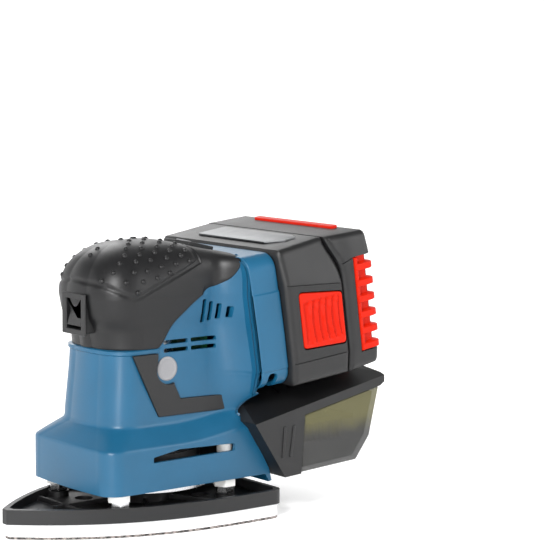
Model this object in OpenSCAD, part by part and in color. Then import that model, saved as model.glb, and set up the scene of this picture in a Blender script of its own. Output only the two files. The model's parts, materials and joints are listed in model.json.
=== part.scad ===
// Cordless detail sander: a palm-grip orbital sander with a delta plate, a slide-on
// battery at the rear and a dust box under the battery.
// The front points to -X, the left side is -Y and the sanding face lies on z = 0.

/* [Sanding plate] */
// Length of the delta plate, tip to rear edge
plate_l = 150; // [125:1:180]
// Greatest width of the delta plate
plate_w = 101; // [92:1:121]
// Height of the plate's rim above its underside
plate_h = 8; // [7:0.5:10]
// Thickness of the plate's floor
plate_floor = 3; // [2.5:0.1:3.5]
// Thickness of the foam pad
pad_t = 6.8; // [5:0.2:8.5]
// Thickness of the abrasive sheet
sheet_t = 1.2; // [0.8:0.1:1.6]
// Radius of each dust hole
dust_hole_r = 5; // [3.5:0.5:6]
// Radius of the orbit of the plate
orbit_r = 0.8; // [0.5:0.1:1.2]

/* [Housing] */
// Wall thickness of the housing shells
wall = 2.5; // [2:0.1:3]
// Full width of the skirt around the plate
skirt_w = 79; // [76:1:95]
// Height of the skirt's vertical wall
skirt_h = 23; // [20:1:26]
// Gap between the plate's rim and the skirt
skirt_gap = 7; // [6:0.5:9]
// Full width of the neck
neck_w = 59; // [56:1:66]
// Height of the collar under the grip, above the skirt's lower edge
collar_rise = 74; // [72:1:80]
// Thickness of the soft grip
grip_t = 3; // [2.5:0.1:3.4]

/* [Drive] */
// Radius of the motor can
can_r = 20; // [16.6:0.1:20.5]
// Radius of the fan
fan_r = 27; // [22:0.5:28]
// Number of fan blades
fan_blades = 9; // [7:1:12]
// Radius of the shaft and of the eccentric journal in their ball bearings
journal_r = 5; // [4.5:0.1:5.5]
// Outer radius of the two large ball bearings
bearing_r = 13; // [12.5:0.1:15.6]

/* [Battery] */
// Length of the battery pack, across the tool
pack_l = 116; // [96.5:0.1:139.5]
// Width of the battery pack
pack_w = 78.6; // [76:0.2:90]
// Depth of the battery pack behind the dock
pack_d = 62; // [60:1:72]
// Forward lean of the pack, in degrees
pack_tilt = 8; // [4:0.5:10]
// Radius of one cell
cell_r = 9.2; // [8.5:0.1:9.3]

/* [Dust box] */
// Full width of the dust box
box_w = 100; // [83:0.1:110]
// Wall thickness of the clear tub
tub_wall = 2; // [1.5:0.1:2.5]

/* [Hidden] */
$fn = 48;

eps = 0.01;              // overlap that keeps a cut from leaving a skin
fit = 0.05;              // radial clearance of a seated bearing or a shaft
gap = 0.3;               // clearance between pieces that slide or abut
far = 300;               // longer than the whole object

// Heights from the sanding face up
plate_z = sheet_t + pad_t;
rim_z = plate_z + plate_h;
skirt_z = rim_z + skirt_gap;
skirt_top = skirt_z + skirt_h;
shoulder_h = 10;
neck_z = skirt_top + shoulder_h;
collar_z = skirt_z + collar_rise;
grip_h = 57.5;
grip_top = collar_z + grip_h;

// Plan of the plate
tip_x = -plate_l * 0.6;
plate_end = tip_x + plate_l;
plate_corner = 6;
tip_power = 2.8;         // how full the sides of the delta are

// Plan of the housing
skirt_x = -49;
skirt_corner = 14;
neck_x = -38;
neck_corner = 16;
upper_corner = 24;

// Drive heights
eccentric_z = plate_z + 4;
race_w = 8;              // width of a large bearing
weight_z = eccentric_z + race_w + 1.7;
weight_t = 4;
fan_z = weight_z + weight_t + 0.6;
fan_h = 12;
bearing_plate_z = fan_z + fan_h + 2.6;
bearing_plate_h = 12;
can_z = bearing_plate_z + bearing_plate_h;
can_h = 50;
end_cap_z = can_z + can_h;
small_race_r = 9.5;
small_race_w = 6;
small_journal_r = 3;
shaft_r = 4;
spindle_top = end_cap_z + 4 + small_race_w;

// Flexible posts between the housing and the plate
post_front = [-35, 30];
post_rear = [33.4, 32];
post_r = 4.2;
post_top = skirt_z + 19;
nut_z = rim_z - 1.5;
nut_h = 4;
post_flange_h = 4;
post_z = nut_z + nut_h;
screw_r = 2;
screw_head_r = 4;
screw_head_h = 2.2;
boss_h = 6;

// Battery frame: its local X runs rearwards, its local Z runs up the pack
pack_centre = [57.7 + pack_d / 2, 0, 75.4 + pack_w / 2];
pack_front = -pack_d / 2;
parting = pack_front + 40.5;   // plane between the two pack shells
seam = pack_front - 16.3;      // plane between housing and dock
dock_hw = 53;
dock_hz = pack_w / 2 - 2.5;
dock_corner = 12;
rail_neck = 20;
rail_head = 25;
rail_depth = 10.5;
rail_step = 5;
rail_y0 = -39;
rail_l = dock_hw - wall - 0.1 - rail_y0;
latch_out = 3.2;         // how far the release latch reaches into the rail
latch_y = -37;
cavity_x = pack_front + 16;
pack_corner = 9;
pack_wall = 3;

// Rear outline of the housing, which the dust box follows: lower end, knee, upper end
rear_foot = [62, 22];
rear_knee = [41, 54];
rear_top = [48.5, 68];
box_end = 134;
box_z = 22;

function arc(c, r, a0, a1, n) =
  [for (i = [0:n]) c + r * [cos(a0 + (a1 - a0) * i / n), sin(a0 + (a1 - a0) * i / n)]];

// Rounded rectangle from x0 to x1, half-width h, corner radius r
function rounded(x0, x1, h, r) = concat(
  arc([x1 - r, h - r], r, 0, 90, 8), arc([x0 + r, h - r], r, 90, 180, 8),
  arc([x0 + r, r - h], r, 180, 270, 8), arc([x1 - r, r - h], r, 270, 360, 8));

function unit(v) = v / norm(v);
function left_of(a, b) = let (d = unit(b - a)) [-d[1], d[0]];

// A counter-clockwise outline moved inwards by d, corner by corner
function inset(p, d) = let (n = len(p)) [for (k = [0:n - 1])
  let (u = left_of(p[(k + n - 1) % n], p[k]), v = left_of(p[k], p[(k + 1) % n]))
  p[k] + (u + v) / (1 + u * v) * d];

function mirrored(p) = [for (i = [len(p) - 1:-1:0]) [p[i][0], -p[i][1]]];

// Outline of the delta, moved inwards by d: each side runs from the blunt tip to the rear
// corner as half-width * (1 - t^power), where t falls from the tip to the corner
function delta(d) = let (
  n = 20, r = plate_corner - d / 2, h = plate_w / 2 - d, end = plate_end - d - r, tip = tip_x + 1.45 * d,
  side = [for (i = [0:n - 1]) let (t = 0.985 * (1 - pow(i / n, 1.3)))
    [end - t * (end - tip), h * (1 - pow(t, tip_power))]],
  half = concat(side, arc([end, h - r], r, 90, 0, 6))) concat(half, mirrored(half));

module plan(z0, z1) translate([0, 0, z0]) linear_extrude(z1 - z0) children();
module side_on(h) rotate([90, 0, 0]) linear_extrude(2 * h, center = true) children();
module end_on(h) rotate([90, 0, 90]) linear_extrude(2 * h, center = true) children();
module ring(r1, r2, h) difference() {
  cylinder(r = r1, h = h);
  translate([0, 0, -1]) cylinder(r = r2, h = h + 2);
}
module both_sides() for (s = [-1, 1]) scale([1, s, 1]) children();
module in_pack() translate(pack_centre) rotate([0, -pack_tilt, 0]) children();
module on_plate() translate([orbit_r, 0, 0]) children();
module at_posts() for (p = [post_front, post_rear], s = [-1, 1]) translate([p[0], s * p[1], 0])
  children();
module half_space(s) translate([-far / 2, s > 0 ? 0 : -far, -far / 2]) cube([far, far, far]);

// ---- sanding plate ----
module dust_holes(z0, z1) {
  for (a = [30:60:330]) translate([32 * cos(a), 32 * sin(a), z0]) cylinder(r = dust_hole_r, h = z1 - z0);
  translate([-62, 0, z0]) cylinder(r = dust_hole_r, h = z1 - z0);
}
module sanding_sheet() color("saddlebrown") on_plate() difference() {
  plan(0, sheet_t) polygon(delta(1.2));
  dust_holes(-1, sheet_t + 1);
}
module foam_pad() color("white") on_plate() difference() {
  plan(sheet_t, plate_z) polygon(delta(1.2));
  dust_holes(sheet_t - 1, plate_z + 1);
  at_posts() translate([0, 0, sheet_t - 1]) cylinder(r = screw_head_r + 0.5, h = pad_t + 2);
}
module plate_ribs() {
  rib = 1.8;
  for (a = [0, 60, 120]) rotate([0, 0, a]) translate([-far / 2, -rib / 2, 0])
    cube([far, rib, rim_z - 2.5]);
  translate([-51, -far / 2, 0]) cube([rib, far, rim_z - 2.5]);
}
module sanding_plate() color("dimgray") on_plate() difference() {
  union() {
    plan(plate_z, plate_z + plate_floor) polygon(delta(0));
    difference() {
      plan(plate_z, rim_z) polygon(delta(0));
      plan(plate_z - 1, rim_z + 1) polygon(delta(3));
    }
    intersection() {
      plan(plate_z + 1, rim_z) polygon(delta(1.5));
      plate_ribs();
    }
    translate([0, 0, plate_z]) cylinder(r = bearing_r + 4, h = eccentric_z + race_w + 0.4 - plate_z);
    at_posts() translate([0, 0, plate_z]) cylinder(r = 5.6, h = boss_h);
  }
  translate([0, 0, eccentric_z]) cylinder(r = bearing_r + fit, h = far);
  translate([0, 0, plate_z + 1.5]) cylinder(r = bearing_r - 3, h = far);
  dust_holes(plate_z - 1, rim_z + 1);
  at_posts() {
    translate([0, 0, plate_z - 1]) cylinder(r = screw_head_r + 0.2, h = screw_head_h + 1.2);
    translate([0, 0, plate_z - 1]) cylinder(r = screw_r + 0.1, h = far);
    translate([0, 0, nut_z - 0.2]) cylinder(r = 5.8, h = far);
  }
}
module post_nuts() color("silver") on_plate() at_posts() translate([0, 0, nut_z]) difference() {
  cylinder(r = 5.4, h = nut_h, $fn = 6);
  translate([0, 0, -1]) cylinder(r = screw_r + fit, h = nut_h + 2);
}
module plate_screws() color("silver") on_plate() at_posts() translate([0, 0, plate_z]) difference() {
  union() {
    cylinder(r = screw_head_r, h = screw_head_h);
    cylinder(r = screw_r, h = nut_z + nut_h - plate_z);
  }
  translate([0, 0, -1]) cylinder(r = 1.6, h = 2.4, $fn = 6);
}
module flex_posts() color("white") at_posts() {
  translate([0, 0, post_z]) difference() {
    union() {
      cylinder(r = 6.6, h = post_flange_h, $fn = 6);
      cylinder(r = post_r - 0.8, h = post_top - post_z);
      translate([0, 0, post_top - 12 - post_z]) cylinder(r = post_r, h = 12);
    }
  }
}

// ---- ball bearings: an outer race, and an inner race with its balls ----
module outer_race(r, w) ring(r, r - 2.4, w);
module inner_race(r, bore, w) {
  inner = bore + 2;
  ball = (r - 2.4 - inner) / 2 - fit;
  mid = (r - 2.4 + inner) / 2;
  ring(inner, bore + fit, w);
  for (a = [0:45:315]) rotate([0, 0, a]) translate([mid, 0, w / 2]) sphere(r = ball, $fn = 24);
}
module plate_bearing_outer() color("silver") on_plate() translate([0, 0, eccentric_z])
  outer_race(bearing_r, race_w);
module plate_bearing_inner() color("silver") on_plate() translate([0, 0, eccentric_z])
  inner_race(bearing_r, journal_r, race_w);
module lower_bearing_outer() color("silver") translate([0, 0, bearing_plate_z + 2])
  outer_race(bearing_r, race_w);
module lower_bearing_inner() color("silver") translate([0, 0, bearing_plate_z + 2])
  inner_race(bearing_r, journal_r, race_w);
module upper_bearing_outer() color("silver") translate([0, 0, end_cap_z + 3.5])
  outer_race(small_race_r, small_race_w);
module upper_bearing_inner() color("silver") translate([0, 0, end_cap_z + 3.5])
  inner_race(small_race_r, small_journal_r, small_race_w);

// ---- drive ----
module motor_shaft() color("silver") {
  on_plate() translate([0, 0, eccentric_z - 1]) cylinder(r = journal_r, h = weight_z - eccentric_z + 1);
  translate([0, 0, weight_z]) cylinder(r = journal_r, h = can_z - weight_z);
  translate([0, 0, can_z]) cylinder(r = shaft_r, h = end_cap_z + 3 - can_z);
  translate([0, 0, end_cap_z + 3]) cylinder(r = small_journal_r, h = spindle_top - end_cap_z - 3);
}
module counterweight() color("darkgoldenrod") translate([0, 0, weight_z]) difference() {
  union() {
    intersection() {
      cylinder(r = 19, h = weight_t);
      translate([-far, -far / 2, 0]) cube([far, far, weight_t]);
    }
    cylinder(r = 9, h = weight_t);
  }
  translate([0, 0, -1]) cylinder(r = journal_r + fit, h = weight_t + 2);
}
module fan() color("gray") translate([0, 0, fan_z]) difference() {
  union() {
    cylinder(r = 9, h = fan_h);
    translate([0, 0, fan_h - 1.6]) cylinder(r = fan_r, h = 1.6);
    for (k = [0:fan_blades - 1]) rotate([0, 0, 360 * k / fan_blades])
      translate([8, 0, 0]) rotate([0, 0, 20]) translate([0, -0.8, 0]) cube([fan_r - 10, 1.6, fan_h - 1]);
  }
  translate([0, 0, -1]) cylinder(r = journal_r + fit, h = fan_h + 2);
}
module rotor_core() color("dimgray") translate([0, 0, can_z + 6]) ring(11.5, shaft_r + fit, can_h - 12);
can_wall = 1.6;
coil_in = 12;
coil_half = 4.9;
coil_out = sqrt(pow(can_r - can_wall - 0.13, 2) - pow(coil_half, 2));   // where its corners clear the can
module stator_coils() color("peru") for (k = [0:5]) rotate([0, 0, 60 * k])
  translate([coil_in, -coil_half, can_z + 5]) cube([coil_out - coil_in, 2 * coil_half, can_h - 10]);
module motor_can() color("silver") translate([0, 0, can_z]) difference() {
  cylinder(r = can_r, h = can_h);
  translate([0, 0, 1.2]) cylinder(r = can_r - can_wall, h = can_h);
  translate([0, 0, -1]) cylinder(r = 8, h = 4);
  for (k = [0:5]) rotate([0, 0, 60 * k + 30]) translate([13, 0, -1]) cylinder(r = 2.2, h = 4);
}
module motor_end_cap() color("dimgray") translate([0, 0, end_cap_z]) difference() {
  union() {
    cylinder(r = can_r, h = 3);
    cylinder(r = small_race_r + 2.5, h = 3.5 + small_race_w + 1);
  }
  translate([0, 0, 3.5]) cylinder(r = small_race_r + fit, h = far);
  translate([0, 0, -1]) cylinder(r = shaft_r + 1, h = far);
}
module bearing_plate() color("lightgray") translate([0, 0, bearing_plate_z]) difference() {
  cylinder(r = can_r + 4, h = bearing_plate_h);
  translate([0, 0, 2]) cylinder(r = bearing_r + fit, h = far);
  translate([0, 0, -1]) cylinder(r = journal_r + 3, h = far);
}
duct_hw = 12;
duct_h = 13;
duct_z = fan_z + 1;
shroud_r = fan_r + 3;
module fan_housing() color("dimgray") {
  difference() {
    union() {
      translate([0, 0, fan_z - 0.5]) ring(shroud_r + 2.5, shroud_r, fan_h + 2.6);
      translate([0, 0, fan_z + fan_h + 0.6]) ring(shroud_r + 1, journal_r + 4, 2);
      translate([10, -duct_hw, duct_z]) cube([54 - 10, 2 * duct_hw, duct_h]);
    }
    translate([0, 0, fan_z - 1]) cylinder(r = shroud_r, h = fan_h + 1.6);
    translate([10 - eps, 2 - duct_hw, duct_z + 2]) cube([far, 2 * duct_hw - 4, duct_h - 4]);
  }
}
module base_ring() color("silver") translate([0, 0, skirt_z - 2.2])
  ring(skirt_w / 2 - wall / 2, fan_r - 3, 2.2);

// ---- housing ----
module skirt_solid(i, z0) intersection() {
  plan(z0, neck_z + 4) polygon(rounded(skirt_x + i, 90, skirt_w / 2 - i, skirt_corner - i));
  side_on(far) polygon([[-60, z0], [90, z0], [90, neck_z + 3.9 - 1.35 * i],
    [skirt_x + 15.4, neck_z + 3.9 - 1.35 * i], [-60, skirt_top - 10 - 1.35 * i]]);
  end_on(far) polygon([[-far, z0], [far, z0], [far, z0 + 1], [skirt_w / 2, skirt_top - 1.4 * i],
    [skirt_w / 2 - 14, neck_z + 4 - 1.4 * i], [14 - skirt_w / 2, neck_z + 4 - 1.4 * i],
    [-skirt_w / 2, skirt_top - 1.4 * i], [-far, z0 + 1]]);
}
module outer_body(i) {
  skirt_solid(i, skirt_z);
  neck_solid(i, skirt_z, collar_z);
  upper_solid(grip_t + i, collar_z - 1);
  flare(i, 2);
}
module neck_solid(i, z0, z1) plan(z0, z1)
  polygon(rounded(neck_x + i, 90, neck_w / 2 - i, neck_corner - i));

// Side outline of the grip, front to rear over the top
upper_side = [for (p = [[-35.5, -20], [60, -20], [60, 46.6], [43, 50.4], [22, 55.4], [12, 57],
  [0, 57.4], [-14, 55.4], [-26, 51], [-34.5, 45], [-40, 37], [-42, 30], [-42, 10.5], [-35.5, 4]])
  [p[0], collar_z + p[1]]];
// Half-widths of the grip against height
upper_rise = [[-20, 28], [2, 28], [9, 27.4], [18, 29], [27, 31.5], [34, 31.2], [41, 28], [47, 22.5],
  [52, 15], [56, 6]];
upper_end = concat([for (p = upper_rise) [p[1], collar_z + p[0]]],
  [for (k = [len(upper_rise) - 1:-1:0]) [-upper_rise[k][1], collar_z + upper_rise[k][0]]]);
module upper_solid(i, z0) intersection() {
  plan(z0, grip_top + 10) polygon(rounded(-44 + i, 90, 31.5 - i, upper_corner - i));
  side_on(far) polygon(inset(upper_side, i));
  end_on(far) polygon(inset(upper_end, i));
}
module grip_zone(d) side_on(far) polygon([[-60, collar_z - d], [-9 + d, collar_z - d],
  [4 + d, collar_z + 15], [20, collar_z + 28 - d], [36 + d, collar_z + 36], [43 + d, collar_z + 50],
  [43 + d, grip_top + 20], [-60, grip_top + 20]]);
module flare(i, d) hull() {
  translate([27, 0, 0]) plan(neck_z + 10 + i, collar_z + 42 - i)
    square([2, neck_w - 2 * i], center = true);
  in_pack() translate([seam + d - 1, 0, 0]) end_on(0.5)
    polygon(rounded(-dock_hw + 3 + i, dock_hw - 3 - i, dock_hz - i, dock_corner - i));
}
module rear_void(d) side_on(far) polygon([[rear_foot[0] - d, rear_foot[1] - 0.4],
  [far, rear_foot[1] - 0.4], [far, rear_top[1] + 14], [rear_top[0] - d, rear_top[1] + 14],
  [rear_top[0] - d, rear_top[1]], [rear_knee[0] - d, rear_knee[1]]]);
module behind_seam(d) in_pack() translate([seam - d, -far / 2, -dock_hz - 1]) cube(far);
screw_spots = [[-29, 68], [-29, 91], [38, 86], [36, 124]];
module at_screws() for (p = screw_spots) translate([p[0], 0, p[1]]) rotate([-90, 0, 0]) children();

// Side vents: two rows of slots, a fan of upright slots, and the long outlet in the skirt
vent_x = [-4, 14];
module side_vents() {
  for (x = vent_x, z = [-2.4, 2]) translate([x, -far / 2, collar_z + z]) cube([16, far / 2 - 15, 2.2]);
  for (k = [0:4]) translate([20 + 4.4 * k, -far / 2, collar_z + 12])
    cube([2.4, far / 2 - 15, 13 - 2.2 * k]);
}
module skirt_outlet() side_on(far) polygon([[-19, skirt_top - 7.5], [35, skirt_top - 7], [35,
  skirt_top - 3.4],
  [-2, skirt_top - 2.2], [-19, skirt_top - 4.6]]);
function bar_outline(d) = inset(concat([[-9, 60.6], [38, 60.2], [38, 68.6], [5.5, 69.4], [1.5, 77.4]],
  arc([-1.8, 86.2], 8.4, 295, 150, 10), [[-9, 95], [-25.4, 95]]), d);
module bar(d, y0, y1) side_strip(y0, y1) polygon(bar_outline(d));
module side_strip(y0, y1) translate([0, -y0, 0]) rotate([90, 0, 0]) linear_extrude(y1 - y0) children();

switch_z = collar_z + 19;
module switch_cut(d) translate([-60, -10 - d, switch_z - 10 - d]) cube([30, 20 + 2 * d, 20 + 2 * d]);

module housing_shell() difference() {
  union() {
    difference() {
      union() {
        skirt_solid(0, skirt_z);
        neck_solid(0, skirt_z + 5, collar_z);
        difference() {
          upper_solid(0, collar_z - eps);
          grip_zone(0.2);
        }
        upper_solid(grip_t + 0.2, collar_z - eps);
        flare(0, 0);
      }
      difference() {
        union() {
          skirt_solid(wall, 0);
          neck_solid(wall, 0, collar_z - 2);
          upper_solid(grip_t + 0.2 + wall, collar_z - 8);
          flare(wall, 2);
        }
        rear_void(wall);
        plan(can_z, can_z + 3) circle_gap();
      }
    }
    intersection() {
      union() {
        at_screws() cylinder(r = 4, h = skirt_w, center = true);
        at_posts() translate([0, 0, post_top - 12]) cylinder(r = post_r + 2, h = 40);
      }
      outer_body(1);
    }
    for (s = [-1, 1], z = [74, 100]) translate([board_x - 2, s * (neck_w / 2 - 5.5) - 6, z])
      cube([5.6, 12, 4]);
    translate([50, 4 - skirt_w / 2, skirt_z - 5]) cube([16, skirt_w - 8, 3.4]);
    translate([50, 4 - skirt_w / 2, skirt_z - 5]) cube([8, skirt_w - 8, 6]);
  }
  rear_void(gap);
  behind_seam(gap);
  difference() {
    intersection() {
      upper_solid(-0.1, collar_z);
      grip_zone(0.1);
    }
    upper_solid(grip_t + 0.1, collar_z - 1);
  }
  at_posts() translate([0, 0, 0]) cylinder(r = post_r + fit, h = post_top + 0.1);
  translate([0, -duct_hw - gap, duct_z - gap]) cube([far, 2 * duct_hw + 2 * gap, duct_h + 2 * gap]);
  both_sides() side_vents();
  both_sides() intersection() {
    skirt_outlet();
    translate([-far / 2, -far, 0]) cube([far, far - skirt_w / 2 + wall + 1, far]);
  }
  both_sides() bar(-0.15, neck_w / 2 - 1.5, far / 2);
  at_screws() {
    translate([0, 0, -16]) cylinder(r = 1.55, h = 60);
    translate([0, 0, 21 - 0.1]) cylinder(r = 3.3, h = far);
  }
  switch_cut(gap);
  panel_place() translate([0, 0, -3]) cube([17 + 2 * gap, 24 + 2 * gap, 12], center = true);
  translate([0, 0, skirt_z + 1]) cylinder(r = shroud_r + 2.8, h = fan_z + fan_h + 2.6 - skirt_z);
  translate([0, 0, bearing_plate_z - 0.4]) cylinder(r = can_r + 4.2, h = bearing_plate_h + 0.4);
  board_plate(fit);
}
module circle_gap() difference() {
  square([far, far], center = true);
  circle(r = can_r + fit);
  translate([45, 0]) square([44, 50], center = true);
}
module housing_left() color("steelblue") intersection() {
  housing_shell();
  half_space(-1);
}
module housing_right() color("steelblue") intersection() {
  housing_shell();
  half_space(1);
}
module housing_screws() color("dimgray") at_screws() {
  translate([0, 0, -14]) cylinder(r = 1.5, h = 35);
  translate([0, 0, 21]) difference() {
    cylinder(r = 3, h = 2.4);
    translate([0, 0, 0.8]) cylinder(r = 1.3, h = 3, $fn = 6);
  }
}
module soft_grip() color([0.13, 0.13, 0.14]) difference() {
  intersection() {
    upper_solid(0, collar_z);
    grip_zone(0);
  }
  upper_solid(grip_t, 0);
  switch_cut(gap);
  panel_place() translate([0, 0, 4]) cube([17 + 2 * gap, 24 + 2 * gap, 20], center = true);
  behind_seam(gap);
}
module bumper_left() color([0.17, 0.17, 0.17]) bar(0, neck_w / 2 - 1.4, neck_w / 2 + 0.8);
module bumper_right() color([0.17, 0.17, 0.17]) mirror([0, 1, 0])
  bar(0, neck_w / 2 - 1.4, neck_w / 2 + 0.8);

// ---- switch and control panel ----
rocker_pivot = [-37, 0, switch_z];
rocker_tilt = 6;         // the rocker leans this much either way; it rests at off, lower end in
module switch_frame() color("black") difference() {
  union() {
    translate([-42.6, -10, switch_z - 10]) cube([7, 20, 20]);
    translate([-43.4, -11.2, switch_z - 11.2]) cube([1.2, 22.4, 22.4]);
  }
  translate([-60, -7, switch_z - 8]) cube([30, 14, 16]);
}
module switch_rocker() color([0.2, 0.2, 0.2]) translate(rocker_pivot) rotate([0, rocker_tilt, 0])
  side_on(6.7)
  polygon([[-4.6, 0], [-5.5, -7], [1.4, -7], [1.4, 7], [-5.5, 7]]);
module switch_module() color("dimgray") translate([-33.6, -7, switch_z - 6.5]) cube([5, 14, 13]);
panel_tilt = atan2(5, 21);
module panel_place() translate([32.5, 0, collar_z + 53 - 1]) rotate([0, panel_tilt, 0]) children();
module control_panel() color("black") panel_place() difference() {
  translate([0, 0, -0.4]) cube([17, 24, 2.4], center = true);
  translate([-3.5, 0, -0.4]) cylinder(r = 4.7, h = 10, center = true);
  translate([5, 0, 0.5]) cube([3.4, 16.2, 2], center = true);
}
module speed_button() color("gray") panel_place() translate([-3.5, 0, -1.4]) cylinder(r = 4.3, h = 2.8);
module led_window() color("lightgreen") panel_place() translate([5, 0, 0])
  cube([3, 16, 0.9], center = true);
board_x = 29;
module board_plate(d) translate([board_x - d, -20 - d, 64 - d])
  cube([1.6 + 2 * d, 40 + 2 * d, 48 + 2 * d]);
module control_board() color("green") difference() {
  board_plate(0);
  for (y = [-15, 15], z = [68, 108]) translate([board_x - 1, y, z]) rotate([0, 90, 0])
    cylinder(r = 1.6, h = 4);
}
module board_parts() color("black") {
  for (y = [-12, 4]) translate([30.7, y, 92]) cube([3, 8, 12]);
  for (y = [-9, 9]) translate([30.7, y, 74]) rotate([0, 90, 0]) cylinder(r = 4, h = 10);
  translate([24, -6, 70]) cube([4.9, 12, 8]);
}

// ---- battery dock ----
module dock_shell() in_pack() difference() {
  translate([(seam + pack_front) / 2, 0, 0]) end_on((pack_front - seam) / 2 - gap)
    polygon(rounded(-dock_hw, dock_hw, dock_hz, dock_corner));
  translate([seam, 0, 0]) end_on(far) polygon(rounded(wall - dock_hw, dock_hw - wall, dock_hz - wall,
    dock_corner - wall));
}
module dock_left() color("steelblue") intersection() {
  dock_shell();
  half_space(-1);
}
module dock_right() color("steelblue") intersection() {
  dock_shell();
  half_space(1);
}
module dock_rail() color([0.12, 0.12, 0.12]) in_pack() difference() {
  union() {
    translate([pack_front - 3, 0, 0]) end_on(1.5)
      polygon(rounded(wall + 0.1 - dock_hw, dock_hw - wall - 0.1, dock_hz - wall - 0.1,
        dock_corner - wall));
    translate([pack_front - 2, rail_y0, -rail_neck]) cube([2 + rail_step + 0.6, rail_l, 2 * rail_neck]);
    translate([pack_front + rail_step, rail_y0, -rail_head])
      cube([rail_depth - rail_step, rail_l, 2 * rail_head]);
  }
  for (z = [-12:8:12]) translate([pack_front - 6, 22, z - 0.5]) cube([rail_depth + 8, 12, 1]);
  hull() for (y = [0, -10]) translate([0, y, 0]) latch_block(gap, 0);
}
module dock_contacts() color("gold") in_pack() for (z = [-12:8:12])
  translate([pack_front - 5, 22.2, z - 0.4]) cube([rail_depth + 8, 11.6, 0.8]);

// ---- battery pack, in its own frame ----
module pack_block(x0, x1, i) translate([(x0 + x1) / 2, 0, 0]) end_on((x1 - x0) / 2)
  polygon(rounded(i - pack_l / 2, pack_l / 2 - i, pack_w / 2 - i, pack_corner - i));
button_x = [pack_front + 8, parting - 2];
button_z = [[-18.4, 13.6], [-21.2, 8.4]];      // low and high edges at its front and rear ends
function button_outline(d) = inset([[button_x[0], button_z[0][0]], [button_x[1], button_z[1][0]],
  [button_x[1], button_z[1][1]], [button_x[0], button_z[0][1]]], d);
module button_prism(d, y0, y1) side_strip(y0, y1) polygon(button_outline(d));
module pack_case_top() color([0.15, 0.15, 0.16]) in_pack() difference() {
  pack_block(pack_front, parting - 0.05, 0);
  pack_block(cavity_x, parting + 1, pack_wall);
  translate([pack_front - 1, rail_y0 - 1, -rail_neck - gap])
    cube([rail_step + 2, far, 2 * (rail_neck + gap)]);
  translate([pack_front + rail_step - gap, rail_y0 - 1, -rail_head - gap])
    cube([rail_depth - rail_step + 2 * gap, far, 2 * (rail_head + gap)]);
  translate([pack_front + rail_depth - 1, 14, -18]) cube([6.8, far, 36]);
  button_prism(-gap, pack_l / 2 + 1 - 14, pack_l / 2 + 1);
  latch_block(gap, 4);
  label_cut(0.1);
}
module pack_case_base() color([0.15, 0.15, 0.16]) in_pack() difference() {
  pack_block(parting + 0.05, -pack_front, 0);
  pack_block(parting - 1, -pack_front - pack_wall, pack_wall);
  end_bumper_cut(0.1);
  side_bumper_cut(0.1);
  at_pack_screws() translate([0, 0, -4]) cylinder(r = 3, h = 20);
  at_pack_screws() translate([0, 0, -20]) cylinder(r = 1.6, h = 30);
}
module at_pack_screws() for (s = [-1, 1], t = [-1, 1])
  translate([-pack_front - 4, s * (pack_l / 2 - 9), t * (pack_w / 2 - 9)]) rotate([0, 90, 0]) children();
module end_bumper_cut(d) for (s = [-1, 1])
  translate([parting + 8 - d, s > 0 ? pack_l / 2 - 6 - d : -pack_l / 2 - 10, -29 - d])
    cube([far, 16 + 2 * d, 54 + 2 * d]);
module side_bumper_cut(d) for (s = [-1, 1])
  translate([parting + 13 - d, -36 - d, s > 0 ? pack_w / 2 - 2.2 - d : -pack_w / 2 - 8])
    cube([far, 72 + 2 * d, 10.2 + d]);
module pack_bumper_ends() color("red") in_pack() for (s = [-1, 1]) scale([1, s, 1]) {
  translate([parting + 8, pack_l / 2 - 5.9, -28.9]) cube([-pack_front - parting - 8, 4.9, 53.8]);
  for (k = [0:5]) translate([parting + 9, pack_l / 2 - 1.1, -28 + 9 * k])
    cube([-pack_front - parting - 9 + 1.6, 1.9, 3.4]);
}
module pack_bumper_sides() color("red") in_pack() for (s = [-1, 1]) scale([1, 1, s])
  translate([parting + 13, -36, pack_w / 2 - 2.1]) cube([-pack_front - parting - 13, 72, 2.8]);
module label_cut(d) for (s = [-1, 1]) translate([0, 0, s * (pack_w / 2)])
  translate([-12, 0, 0]) cube([20 + d, 62 + d, 0.8 + d], center = true);
module pack_labels() color("silver") in_pack() label_cut(0);
cell_pitch = 2 * cell_r + 0.6;
cell_x = -pack_front - pack_wall - 0.4 - cell_r;   // the rear column of cells
module at_cells() for (j = [0, 1], k = [-2:2]) translate([cell_x - j * cell_pitch, k * cell_pitch, 0])
  children();
module pack_cells() color("seagreen") in_pack() at_cells() cylinder(r = cell_r, h = 65, center = true);
module cell_holder() color("black") in_pack() difference() {
  for (s = [-1, 1]) translate([cell_x - cell_pitch / 2, 0, s * 26])
    cube([2 * cell_pitch - 4, 5 * cell_pitch - 4, 4], center = true);
  at_cells() cylinder(r = cell_r + fit, h = 80, center = true);
}
module pack_board() color("green") in_pack() translate([cavity_x + 0.3, -30, -15]) cube([1.5, 40, 30]);
module pack_terminals() color("black") in_pack() difference() {
  translate([pack_front + rail_depth + gap + 0.1, 15, -17.6]) cube([5, 26, 35.2]);
  for (z = [-12:8:12]) translate([pack_front, 16.5, z - 1]) cube([rail_depth + 4.4, far, 2]);
}
module pack_screws() color("silver") in_pack() at_pack_screws() {
  translate([0, 0, -3.9]) difference() {
    cylinder(r = 2.8, h = 2.2);
    translate([0, 0, 0.8]) cylinder(r = 1.3, h = 3, $fn = 6);
  }
  translate([0, 0, -14]) cylinder(r = 1.5, h = 10.2);
}
module release_button() color("red") in_pack() {
  button_prism(0, pack_l / 2 - 5, pack_l / 2 + 0.8);
  for (k = [0:4]) translate([button_x[0] + 6 + 4.4 * k, -pack_l / 2 - 1.5, -15]) cube([1.6, 1, 22]);
}
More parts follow.
